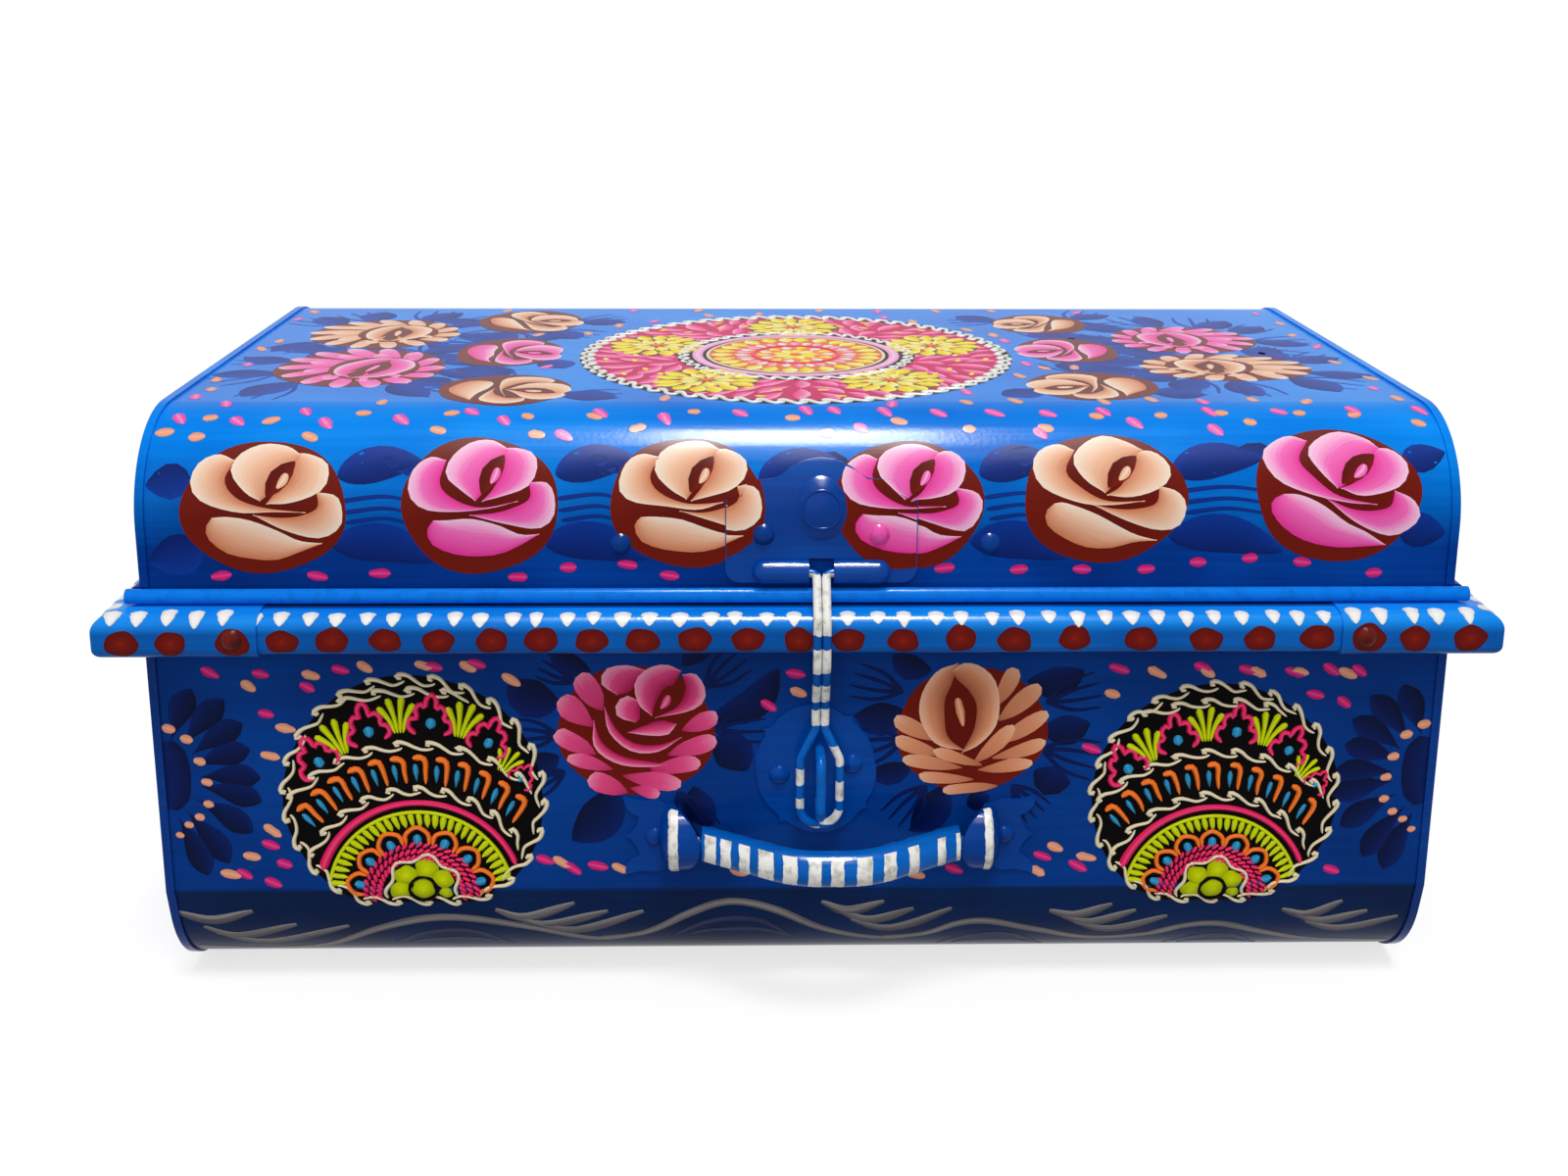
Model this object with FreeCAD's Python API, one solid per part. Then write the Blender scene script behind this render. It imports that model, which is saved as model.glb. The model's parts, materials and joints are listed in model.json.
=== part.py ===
import FreeCAD
import Part
import math
import os
from FreeCAD import Vector

# A painted sheet-steel trunk: a body with rounded lower edges, a hollow rim with corner caps,
# a hinged lid with a wired edge, a wire hasp over a staple, and a bail handle on the front.
# Millimetres. X runs along the length, the front faces -Y, +Z is up, and the origin is the
# centre of the flat bottom.

# Overall size
trunk_length = 457.0
trunk_depth = 254.0
trunk_height = 216.0
sheet = 0.8
half_length = trunk_length / 2
half_depth = trunk_depth / 2

# Body: a crease, a short slanted facet and a large round lead from the walls to the bottom
crease_height = 43.0
facet_angle = 14.0
facet_length = 11.0
lip_width = 3.0
upstand_inset = 2.0
joggle_low = 150.0
joggle_high = 153.0
upstand_top = 162.0
small_bend = 2.0

# Rim strips and corner caps
cap_thickness = 0.9
rim_projection = 12.6
rim_bottom = 137.9
rim_ledge_at_wall = 152.2
rim_ledge_at_edge = 151.0
rim_top_round = 4.6
rim_bottom_round = 3.2
rim_flange_bend = 1.2
rim_upper_flange = 6.2
rim_lower_flange = 5.6
cap_leg = 56.0
cap_rivet_from_seam = 8.5
cap_rivet_height = 144.3

# Lid
lid_round = 36.0
bead_radius = 2.6
bead_height = 156.0
bead_overhang = 4.5
bead_roll_end = 50.0
edge_wire_radius = bead_radius - sheet - 0.05
lid_lip_bottom = 159.0
strap_length = 146.0
strap_width = 11.8
strap_thickness = 1.2
strap_height = 174.1
strap_centre_x = 1.2
strap_rivet_spacing = 128.0

# Rivets
rivet_head_radius = 3.8
rivet_head_height = 2.1
rivet_shank_radius = 2.0
rivet_tail_radius = 3.0
rivet_tail_height = 1.1
small_rivet_head_radius = 2.8
small_rivet_head_height = 1.5
small_rivet_shank_radius = 1.5
small_rivet_tail_radius = 2.3

# Hasp, its plate and the staple share one centre line, a little right of the middle
fitting_plate = 0.9
hasp_x = 6.6
hasp_axis_y = -half_depth - 3.0
hasp_axis_z = 164.4
hasp_wire_radius = 1.5
barrel_radius = 4.2
barrel_centre_y = -half_depth - 1.4
barrel_near = 4.3
barrel_far = 24.0
hasp_plate_width = 66.4
hasp_plate_bottom = 160.2
hasp_plate_corner = 5.0
hasp_plate_side_top = 189.5
hasp_plate_shoulder = 196.4
hasp_plate_apex = 202.8
hasp_notch_top = 169.0
hasp_rivet_spacing = 40.0
hasp_rivet_height = 177.6
boss_sphere_radius = 17.6
boss_proud = 2.4
boss_height_on_sheet = 33.0
boss_ring_radius = 6.6
boss_ring_thickness = 0.5
strand_offset = 1.62
collar_clear_y = -half_depth - 15.7
loop_y = -half_depth - 6.5
loop_half_width = 7.0
loop_bottom = 71.5

staple_wire_radius = 1.75
staple_front_y = -half_depth - 16.25
staple_low = 77.75
staple_high = 99.25
staple_bend = 4.0
staple_clinch_bend = 2.5
staple_clinch = 7.5
staple_plate_x = 5.4
staple_plate_z = 90.0
staple_plate_tilt = 9.0
staple_rivet_spacing = 26.4

# Bail handle, standing straight out, with its pivots in two pocket plates
handle_x = 10.7
handle_axis_y = -half_depth - 6.6
handle_axis_z = 64.2
handle_reach = 18.5
handle_half_length = 45.8
handle_knee = 45.3
handle_flat_half = 12.5
handle_end_bend = 12.0
handle_bow_bend = 34.0
grip_radius = 6.1
grip_wall = 1.0
grip_end_wall = 1.5
handle_wire_radius = 2.25
handle_stub_end = 56.0
pocket_mouth = 46.5
pocket_mouth_radius = 11.6
pocket_ridge = 56.3
pocket_ridge_radius = 12.7
pocket_ridge_half = 0.6
pocket_foot = 60.4
pocket_end_radius = 12.2
plate_end = 73.6
plate_half_width = 15.4
handle_rivet_offset = 63.0
handle_rivet_head_radius = 3.5

# Back hinges
hinge_spacing = 280.0
hinge_axis_out = 8.2
hinge_axis_z = 157.0
hinge_leaf = 1.2
hinge_width = 32.0
knuckle_radius = 2.9
hinge_pin_radius = 1.5
hinge_pin_clearance = 0.05
knuckle_half = 6.0
knuckle_gap = 0.3
pin_head_radius = 2.4
pin_head_height = 1.0
lid_leaf_top = 178.5
lid_leaf_shoulder = 164.6
lid_leaf_rivet_z = 171.8
body_leaf_bottom = 139.4
body_leaf_shoulder = 150.4
body_leaf_rivet_z = 143.6
hinge_rivet_spacing = 18.0

far = 400.0
x_axis = Vector(1, 0, 0)
y_axis = Vector(0, 1, 0)
z_axis = Vector(0, 0, 1)


def box(x_low, x_high, y_low, y_high, z_low, z_high):
    """A block between six planes."""
    return Part.makeBox(x_high - x_low, y_high - y_low, z_high - z_low, Vector(x_low, y_low, z_low))


def fuse_all(shapes):
    """One solid from shapes that touch or overlap."""
    whole = shapes[0]
    for shape in shapes[1:]:
        whole = whole.fuse(shape)
    return whole.removeSplitter()


def cut_all(shape, tools):
    """The shape less every tool."""
    for tool in tools:
        shape = shape.cut(tool)
    return shape


def unit(vector):
    """The vector at length one."""
    return vector * (1.0 / vector.Length)


def rounded_wire(points, radii):
    """Straight runs through the points, joined by a tangent arc of each radius at the corners."""
    edges = []
    start = points[0]
    for index, radius in enumerate(radii):
        corner = points[index + 1]
        back = unit(points[index] - corner)
        onward = unit(points[index + 2] - corner)
        bisector = unit(back + onward)
        half_angle = back.getAngle(onward) / 2
        setback = radius / math.tan(half_angle)
        centre = corner + bisector * (radius / math.sin(half_angle))
        arc_start = corner + back * setback
        arc_end = corner + onward * setback
        edges.append(Part.makeLine(start, arc_start))
        edges.append(Part.Arc(arc_start, centre - bisector * radius, arc_end).toShape())
        start = arc_end
    edges.append(Part.makeLine(start, points[-1]))
    return Part.Wire(edges)


def round_tube(points, radii, radius):
    """A round bar that follows the rounded wire."""
    path = rounded_wire(points, radii)
    ring = Part.Wire(Part.makeCircle(radius, points[0], unit(points[1] - points[0])))
    return path.makePipeShell([ring], True, False)


def side_point(centre, touch, change):
    """The point beyond touch as seen from centre, its distance changed."""
    spoke = touch - centre
    return centre + unit(spoke) * (spoke.Length + change)


def sheet_face(points, radii, thickness, side, place):
    """Cross-section of a bent sheet: one face runs through the 2-D points, with an arc of each
    radius at the corners, and the other lies at the thickness to the left (side 1) or right
    (side -1). place turns (u, v) into a point in space."""
    flat = [Vector(u, v, 0) for u, v in points]
    near_edges = []
    far_edges = []
    start = flat[0]
    for index in range(1, len(flat)):
        end = flat[index]
        heading = unit(end - flat[index - 1])
        shift = Vector(-heading.y, heading.x, 0) * (thickness * side)
        if index == len(flat) - 1:
            near_edges.append((start, end))
            far_edges.append((start + shift, end + shift))
            break
        onward = unit(flat[index + 1] - end)
        bisector = unit(onward - heading)
        half_angle = (-heading).getAngle(onward) / 2
        radius = radii[index - 1]
        setback = radius / math.tan(half_angle)
        centre = end + bisector * (radius / math.sin(half_angle))
        turn = 1 if heading.x * onward.y - heading.y * onward.x > 0 else -1
        change = -turn * side * thickness
        arc = (end - heading * setback, centre - bisector * radius, end + onward * setback)
        near_edges.append((start, arc[0]))
        near_edges.append(arc)
        far_edges.append((start + shift, arc[0] + shift))
        far_edges.append(tuple(side_point(centre, touch, change) for touch in arc))
        start = arc[2]
    outline = near_edges + [(near_edges[-1][-1], far_edges[-1][-1])]
    outline += [tuple(reversed(edge)) for edge in reversed(far_edges)]
    outline += [(far_edges[0][0], near_edges[0][0])]
    return closed_face([[place(p.x, p.y) for p in edge] for edge in outline])


def closed_face(outline):
    """A face inside lines (two points) and arcs (three points)."""
    edges = []
    for edge in outline:
        if len(edge) == 2:
            edges.append(Part.makeLine(edge[0], edge[1]))
        else:
            edges.append(Part.Arc(edge[0], edge[1], edge[2]).toShape())
    return Part.Face(Part.Wire(edges))


def outline_block(steps, y_low, y_high):
    """A block whose front outline goes through (x, z) points; a step of two points is an arc
    by way of the first of them."""
    corner = steps[0][-1]
    edges = []
    for step in steps[1:] + steps[:1]:
        points = [corner] + list(step)
        edges.append([Vector(x, y_low, z) for x, z in points])
        corner = step[-1]
    return closed_face(edges).extrude(Vector(0, y_high - y_low, 0))


def across(x):
    """Places a (y, z) section at one x."""
    return lambda y, z: Vector(x, y, z)


def body_outline(top):
    """Outer (y, z) corners of the body's wall, facet and bottom, from the front top to the back."""
    slant = crease_height * math.tan(math.radians(facet_angle))
    front = [(-half_depth, top), (-half_depth, crease_height), (-half_depth + slant, 0.0)]
    return front + [(-y, z) for y, z in reversed(front)]


def body_rounds():
    """Outer radii at the corners of body_outline."""
    lean = math.radians(facet_angle)
    bottom = (crease_height - facet_length * math.cos(lean)) / (1 - math.sin(lean))
    return [small_bend, bottom, bottom, small_bend]


def body_wrap():
    """The front, bottom and back in one sheet, its top edges set in to stand inside the lid."""
    inset = half_depth - upstand_inset
    rise = [(-inset, upstand_top), (-inset, joggle_high), (-half_depth, joggle_low)]
    points = rise + body_outline(joggle_low)[1:-1] + [(-y, z) for y, z in reversed(rise)]
    radii = [small_bend, small_bend] + body_rounds() + [small_bend, small_bend]
    end = half_length - sheet
    face = sheet_face(points, radii, sheet, 1, across(-end))
    wrap = face.extrude(Vector(2 * end, 0, 0))
    butt = half_length - upstand_inset - sheet
    for x_low, x_high in ((-far, -butt), (butt, far)):
        wrap = wrap.cut(box(x_low, x_high, -far, far, joggle_low - 1.0, far))
    return wrap


def end_panel_with_lip(points, radii, inward, lip_points):
    """A flat end panel of the given outline, with a lip folded over the wrapped sheet's edge."""
    plate_x = half_length - sheet
    outline = sheet_face(points, radii, sheet, inward, across(plate_x)).OuterWire
    outer_edges = outline.Edges[: 2 * len(radii) + 1]
    closing = Part.makeLine(Vector(plate_x, *points[-1]), Vector(plate_x, *points[0]))
    plate = Part.Face(Part.Wire(outer_edges + [closing])).extrude(Vector(sheet, 0, 0))
    lip = sheet_face(lip_points, radii, sheet, -inward, across(half_length - lip_width))
    return [plate, lip.extrude(Vector(lip_width, 0, 0))]


def body_end(side):
    """A flat body end: folded lip, and a top edge set in like the wrap's."""
    level = joggle_low - 1.0
    pieces = end_panel_with_lip(body_outline(level), body_rounds(), 1, body_outline(rim_bottom - 1.1))
    flat_reach = half_depth - crease_height + sheet
    pieces[1] = pieces[1].cut(box(0, far, -flat_reach, flat_reach, -far, far / 10))
    inset = half_length - upstand_inset
    reach = half_depth - upstand_inset
    rise = [(half_length, level), (half_length, joggle_low), (inset, joggle_high), (inset, upstand_top)]
    radii = [small_bend, small_bend]
    strip = sheet_face(rise, radii, sheet, 1, lambda x, z: Vector(x, -reach, z))
    panel = fuse_all(pieces + [strip.extrude(Vector(0, 2 * reach, 0))])
    panel = panel.cut(box(-far, far, -far, far, -far, 0))
    return panel if side > 0 else mirrored(panel)


def mirrored(shape):
    """The shape on the other side of the trunk's middle plane."""
    return shape.mirror(Vector(0, 0, 0), x_axis)


def rim_corners():
    """Outer (outward, z) corners of the rim strip, from the ledge to the underside."""
    return [(0.0, rim_ledge_at_wall), (rim_projection, rim_ledge_at_edge),
            (rim_projection, rim_bottom), (0.0, rim_bottom)]


def rim_face(place):
    """The rim strip's section: a rounded hollow channel with both edges turned in at the wall."""
    corners = rim_corners()
    points = [(0.0, rim_ledge_at_wall - rim_upper_flange)] + corners
    points.append((0.0, rim_bottom + rim_lower_flange))
    radii = [rim_flange_bend, rim_top_round, rim_bottom_round, rim_flange_bend]
    return sheet_face(points, radii, sheet, -1, place)


def cap_face(place):
    """The corner cap's section, lying on the rim strip."""
    return sheet_face(rim_corners(), [rim_top_round, rim_bottom_round], cap_thickness, 1, place)


def mitre_block(along_x):
    """The wedge that holds one straight run of the rim, cut at 45 degrees at its corners."""
    out = 30.0
    if along_x:
        plan = [(-half_length, -half_depth), (half_length, -half_depth),
                (half_length + out, -half_depth - out), (-half_length - out, -half_depth - out)]
    else:
        plan = [(-half_length, -half_depth), (-half_length, half_depth),
                (-half_length - out, half_depth + out), (-half_length - out, -half_depth - out)]
    points = [Vector(x, y, 0) for x, y in plan + plan[:1]]
    return Part.Face(Part.makePolygon(points)).extrude(Vector(0, 0, far))


def front_run(section, x_low, x_high):
    """A section swept along the front wall and mitred."""
    face = section(lambda out, z: Vector(x_low, -half_depth - out, z))
    return face.extrude(Vector(x_high - x_low, 0, 0)).common(mitre_block(True))


def left_run(section, y_low, y_high):
    """A section swept along the left wall and mitred."""
    face = section(lambda out, z: Vector(-half_length - out, y_low, z))
    return face.extrude(Vector(0, y_high - y_low, 0)).common(mitre_block(False))


def turned_back(shape):
    """The same shape at the back, by half a turn about Z."""
    turned = shape.copy()
    turned.rotate(Vector(0, 0, 0), z_axis, 180)
    return turned


def corner_cap_front_left():
    """An L-shaped cap round one corner of the rim."""
    edge = rim_projection + cap_thickness
    seam_x = -half_length - edge + cap_leg
    seam_y = -half_depth - edge + cap_leg
    front = front_run(cap_face, -half_length - edge, seam_x)
    side = left_run(cap_face, -half_depth - edge, seam_y)
    return fuse_all([front, side])


def rivet(place, outward, grip, head_radius=rivet_head_radius, head_height=rivet_head_height,
          shank_radius=rivet_shank_radius, tail_radius=rivet_tail_radius):
    """A domed rivet whose head sits at place, with its shank through grip and a closed tail."""
    dome_radius = (head_radius ** 2 + head_height ** 2) / (2 * head_height)
    slope = math.asin(head_radius / dome_radius) / 2
    bow = Vector(dome_radius * math.sin(slope), 0,
                 head_height - dome_radius * (1 - math.cos(slope)))
    tail_end = -grip - rivet_tail_height
    outline = [[Vector(0, 0, head_height), bow, Vector(head_radius, 0, 0)],
               [Vector(head_radius, 0, 0), Vector(shank_radius, 0, 0)],
               [Vector(shank_radius, 0, 0), Vector(shank_radius, 0, -grip)],
               [Vector(shank_radius, 0, -grip), Vector(tail_radius, 0, -grip)],
               [Vector(tail_radius, 0, -grip), Vector(tail_radius, 0, tail_end)],
               [Vector(tail_radius, 0, tail_end), Vector(0, 0, tail_end)],
               [Vector(0, 0, tail_end), Vector(0, 0, head_height)]]
    body = closed_face(outline).revolve(Vector(0, 0, 0), z_axis, 360)
    body.Placement = FreeCAD.Placement(place, FreeCAD.Rotation(z_axis, outward))
    return body


def small_rivet(place, outward, grip):
    """The smaller rivet that the hinges use."""
    return rivet(place, outward, grip, small_rivet_head_radius, small_rivet_head_height,
                 small_rivet_shank_radius, small_rivet_tail_radius)


def corner_cap_rivets():
    """Two rivets through each corner cap, one in each leg."""
    out = rim_projection + cap_thickness
    grip = cap_thickness + sheet
    along_x = half_length + out - cap_leg + cap_rivet_from_seam
    along_y = half_depth + out - cap_leg + cap_rivet_from_seam
    rivets = []
    for x_side in (-1, 1):
        for y_side in (-1, 1):
            front = Vector(x_side * along_x, y_side * (half_depth + out), cap_rivet_height)
            side = Vector(x_side * (half_length + out), y_side * along_y, cap_rivet_height)
            rivets.append(rivet(front, y_axis * y_side, grip))
            rivets.append(rivet(side, x_axis * x_side, grip))
    return rivets


def lid_outline(bottom):
    """Outer (y, z) corners of the lid, from the front bottom edge over the top to the back."""
    return [(-half_depth, bottom), (-half_depth, trunk_height),
            (half_depth, trunk_height), (half_depth, bottom)]


def bead_face(place):
    """Section of the edge rolled round a wire: it leaves the wall at the inner side and comes
    round to just short of it."""
    centre_out = bead_radius - sheet
    inner = bead_radius - sheet
    finish = math.radians(bead_roll_end)
    middle = math.pi + finish / 2

    def at(radius, angle):
        return place(centre_out - radius * math.cos(angle), bead_height + radius * math.sin(angle))

    outline = [[at(bead_radius, 0), at(bead_radius, middle), at(bead_radius, finish)],
               [at(bead_radius, finish), at(inner, finish)],
               [at(inner, finish), at(inner, middle), at(inner, 0)],
               [at(inner, 0), at(bead_radius, 0)]]
    return closed_face(outline)


def lid_wrap():
    """The lid's front, top and back in one sheet, with both long edges rolled round a wire."""
    end = half_length - sheet
    face = sheet_face(lid_outline(bead_height), [lid_round, lid_round], sheet, -1, across(-end))
    wrap = face.extrude(Vector(2 * end, 0, 0))
    reach = half_length + bead_overhang
    front = bead_face(lambda out, z: Vector(-reach, -half_depth - out, z))
    back = bead_face(lambda out, z: Vector(-reach, half_depth + out, z))
    beads = [face.extrude(Vector(2 * reach, 0, 0)) for face in (front, back)]
    return fuse_all([wrap] + beads)


def lid_end(side):
    """A flat lid end: folded lip above, and its bottom edge rolled round a wire."""
    outline = lid_outline(lid_lip_bottom)
    pieces = end_panel_with_lip(outline, [lid_round, lid_round], -1, outline)
    reach = half_depth - sheet
    skirt = box(half_length - sheet, half_length, -reach, reach, bead_height, lid_lip_bottom)
    face = bead_face(lambda out, z: Vector(half_length + out, -reach, z))
    panel = fuse_all(pieces + [skirt, face.extrude(Vector(0, 2 * reach, 0))])
    return panel if side > 0 else mirrored(panel)


def lid_edge_wires():
    """The four straight wires inside the lid's rolled edges."""
    out = bead_radius - sheet
    long_reach = half_length + bead_overhang - 1.5
    short_reach = half_depth - sheet - 0.3
    wires = []
    for side in (-1, 1):
        y = side * (half_depth + out)
        x = side * (half_length + out)
        wires.append(Part.makeCylinder(edge_wire_radius, 2 * long_reach,
                                       Vector(-long_reach, y, bead_height), x_axis))
        wires.append(Part.makeCylinder(edge_wire_radius, 2 * short_reach,
                                       Vector(x, -short_reach, bead_height), y_axis))
    return wires


def lid_strap():
    """A flat bar inside the lid's front that backs the hasp plate."""
    inner = -half_depth + sheet
    return box(strap_centre_x - strap_length / 2, strap_centre_x + strap_length / 2,
               inner, inner + strap_thickness,
               strap_height - strap_width / 2, strap_height + strap_width / 2)


def lid_strap_rivets():
    """The two rivets beside the hasp plate."""
    half = strap_rivet_spacing / 2
    return [rivet(Vector(strap_centre_x + offset, -half_depth, strap_height), -y_axis,
                  sheet + strap_thickness) for offset in (-half, half)]


def hasp_plate_rivets():
    """Two rivets through the hasp plate, the lid and the strap."""
    half = hasp_rivet_spacing / 2
    face = -half_depth - fitting_plate
    return [rivet(Vector(hasp_x + offset, face, hasp_rivet_height), -y_axis,
                  fitting_plate + sheet + strap_thickness) for offset in (-half, half)]


def barrel(side, radius):
    """A half-barrel with a domed outer end, as a full round form."""
    centre = Vector(hasp_x + side * (barrel_far - barrel_radius), barrel_centre_y, hasp_axis_z)
    length = barrel_far - barrel_radius - barrel_near
    rod = Part.makeCylinder(radius, length, centre, x_axis * -side)
    return rod.fuse(Part.makeSphere(radius, centre))


def boss_axis():
    """Foot and outward direction of the round boss, square to the lid's curve."""
    flat = trunk_height - lid_round - (bead_height - bead_radius)
    angle = (boss_height_on_sheet - flat) / lid_round
    outward = Vector(0, -math.cos(angle), math.sin(angle))
    centre = Vector(hasp_x, -half_depth + lid_round, trunk_height - lid_round)
    return centre + outward * (lid_round + fitting_plate), outward


def hasp_plate():
    """The crown-shaped plate, bent over the lid's curve, with its pressed barrels and boss."""
    half = hasp_plate_width / 2
    bottom = [(-half_depth, hasp_plate_bottom), (-half_depth, trunk_height),
              (0.0, trunk_height)]
    strip = sheet_face(bottom, [lid_round], fitting_plate, 1, across(hasp_x - half))
    strip = strip.extrude(Vector(hasp_plate_width, 0, 0))
    low = hasp_plate_bottom
    radius = hasp_plate_corner
    bend = radius * (1 - math.sqrt(0.5))
    right = [[(half - radius, low)], [(half - bend, low + bend), (half, low + radius)],
             [(half, hasp_plate_side_top)],
             [(27.6, 191.2), (25.4, hasp_plate_shoulder - 0.6)], [(18.6, hasp_plate_shoulder)],
             [(14.8, 197.2), (12.0, 199.2)]]
    dome = [[(0.0, hasp_plate_apex), (-12.0, 199.2)]]
    left = [[(-14.8, 197.2), (-18.6, hasp_plate_shoulder)],
            [(-25.4, hasp_plate_shoulder - 0.6)], [(-27.6, 191.2), (-half, hasp_plate_side_top)],
            [(-half, low + radius)], [(-half + bend, low + bend), (-half + radius, low)]]
    crown = [[(hasp_x + x, z) for x, z in step] for step in right + dome + left]
    plate = strip.common(outline_block(crown, -half_depth - 20.0, 0.0))
    lid_block = Part.Face(rounded_section(lid_outline(0.0), lid_round)).extrude(Vector(far, 0, 0))
    foot, outward = boss_axis()
    boss_centre = foot - outward * (boss_sphere_radius - boss_proud)
    ring_height = math.sqrt(boss_sphere_radius ** 2 - boss_ring_radius ** 2)
    ring = Part.makeTorus(boss_ring_radius, boss_ring_thickness,
                          boss_centre + outward * ring_height, outward)
    bulges = [barrel(-1, barrel_radius), barrel(1, barrel_radius),
              Part.makeSphere(boss_sphere_radius, boss_centre), ring]
    plate = fuse_all([plate] + [bulge.cut(lid_block) for bulge in bulges])
    hollows = [barrel(-1, barrel_radius - fitting_plate), barrel(1, barrel_radius - fitting_plate),
               Part.makeSphere(boss_sphere_radius - fitting_plate, boss_centre)]
    notch = box(hasp_x - barrel_near, hasp_x + barrel_near, -far, 0, 0, hasp_notch_top)
    return cut_all(plate, hollows + [notch])


def rounded_section(points, radius):
    """A closed (y, z) wire through the points, its two upper corners rounded, at x = -far / 2."""
    corners = [Vector(-far / 2, y, z) for y, z in points]
    wire = rounded_wire(corners, [radius] * (len(points) - 2))
    return Part.Wire(wire.Edges + [Part.makeLine(corners[-1], corners[0])])


def hasp_loop():
    """One wire, doubled: its ends turn out into the barrels, the strands step over the rim,
    and the lower end opens into an eye."""
    half = [(-barrel_far + barrel_radius, hasp_axis_y, hasp_axis_z),
            (-strand_offset, hasp_axis_y, hasp_axis_z),
            (-strand_offset, collar_clear_y, hasp_axis_z - 13.6),
            (-strand_offset, collar_clear_y, 134.5),
            (-strand_offset, loop_y, 116.0),
            (-strand_offset, loop_y, 108.0),
            (-loop_half_width, loop_y, 96.5),
            (-loop_half_width, loop_y, loop_bottom)]
    bends = [2.2, 4.0, 10.0, 10.0, 5.0, 6.0, loop_half_width - 0.1]
    points = [Vector(hasp_x + x, y, z) for x, y, z in half]
    points += [Vector(hasp_x - x, y, z) for x, y, z in reversed(half)]
    return round_tube(points, bends + bends[::-1], hasp_wire_radius)


def staple():
    """A wire eye in an upright plane, its legs bent over behind the wall."""
    inner = -half_depth + sheet + staple_wire_radius
    points = [(inner, staple_high + staple_clinch), (inner, staple_high),
              (staple_front_y, staple_high), (staple_front_y, staple_low),
              (inner, staple_low), (inner, staple_low - staple_clinch)]
    bends = [staple_clinch_bend, staple_bend, staple_bend, staple_clinch_bend]
    return round_tube([Vector(hasp_x, y, z) for y, z in points], bends, staple_wire_radius)


def staple_plate():
    """A thin plate with four bowed sides that meet in small horns, riveted on a little askew."""
    quarter = [(21.2, 0.0), (20.2, 8.4), (16.4, 14.8), (15.7, 16.3), (16.6, 18.2),
               (14.4, 18.1), (12.6, 18.9), (6.9, 23.3), (0.0, 24.9)]
    upper = quarter + [(-x, z) for x, z in reversed(quarter)][1:]
    ring = upper + [(-x, -z) for x, z in upper][1:]
    placed = [(staple_plate_x + x, staple_plate_z + z) for x, z in ring]
    arcs = [placed[index:index + 2] for index in range(1, len(placed), 2)]
    plate = outline_block(arcs, -half_depth - fitting_plate, -half_depth)
    plate.rotate(Vector(staple_plate_x, 0, staple_plate_z), y_axis, -staple_plate_tilt)
    return plate


def staple_plate_rivets():
    """Two rivets beside the staple, on the plate's tilted middle line."""
    tilt = math.radians(staple_plate_tilt)
    rivets = []
    for reach in (-staple_rivet_spacing / 2, staple_rivet_spacing / 2):
        place = Vector(staple_plate_x + reach * math.cos(tilt), -half_depth - fitting_plate,
                       staple_plate_z + reach * math.sin(tilt))
        rivets.append(rivet(place, -y_axis, fitting_plate + sheet))
    return rivets


def above_wall(shape):
    """The part of the shape in front of the front wall."""
    return shape.common(box(-far, far, -far, -half_depth, 0, far))


def handle_point(from_middle, out, height=0.0):
    """A point left of the handle's middle, out from the front wall and above the pivots."""
    return Vector(handle_x - from_middle, -half_depth - out, handle_axis_z + height)


def pocket(inset):
    """The turned form of a pocket left of the handle, smaller all round by inset."""
    ridge = pocket_ridge_radius - inset
    mouth = pocket_mouth_radius - inset
    foot = pocket_foot - inset
    crest = pocket_ridge + pocket_ridge_half
    front = [handle_point(pocket_mouth - 1.0, mouth), handle_point(pocket_mouth + 4.5, ridge - 0.35),
             handle_point(pocket_ridge, ridge)]
    back = [handle_point(crest, ridge), handle_point(foot - 0.8, ridge * 0.75), handle_point(foot, 0)]
    outline = [[handle_point(pocket_mouth - 1.0, 0), front[0]], front, [front[2], back[0]], back,
               [back[2], handle_point(pocket_mouth - 1.0, 0)]]
    form = closed_face(outline).revolve(handle_point(0.0, 0.0), x_axis, 360)
    return above_wall(form)


def round_end(radius):
    """What lies outward of the plate's rounded inner end, as a block standing on the wall."""
    centre = pocket_mouth + pocket_end_radius
    disc = Part.makeCylinder(radius, 2 * far, handle_point(centre, -far), -y_axis)
    block = box(-far, handle_x - centre, -far, far, handle_axis_z - radius, handle_axis_z + radius)
    return fuse_all([disc, block])


def plate_with_horns():
    """The flat plate left of the handle: round at the inner end, pronged at the outer one."""
    half = plate_half_width
    end = plate_end
    side = pocket_mouth + pocket_end_radius
    upper = [(-side, pocket_end_radius), (-side - 3.4, half - 1.4), (-side - 7.2, half - 1.8),
             (-end + 3.0, half - 1.0), (-end, half), (-end + 1.1, half - 5.2),
             (-end + 4.9, half - 7.6), (-end + 3.6, 3.4), (-end + 0.2, 0.0)]
    lower = [(x, -z) for x, z in reversed(upper)][1:]
    path = upper + lower + [(-pocket_mouth, 0.0), upper[0]]
    placed = [(handle_x + x, handle_axis_z + z) for x, z in path]
    arcs = [placed[index:index + 2] for index in range(1, len(placed), 2)]
    return outline_block(arcs, -half_depth - fitting_plate, -half_depth)


def handle_plate(side):
    """A plate with a pronged outer edge and a raised pocket, open inward, for the pivot."""
    raised = pocket(0.0).common(round_end(pocket_end_radius))
    plate = fuse_all([plate_with_horns(), raised]).cut(pocket(fitting_plate))
    return plate if side < 0 else plate.mirror(Vector(handle_x, 0, 0), x_axis)


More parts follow.
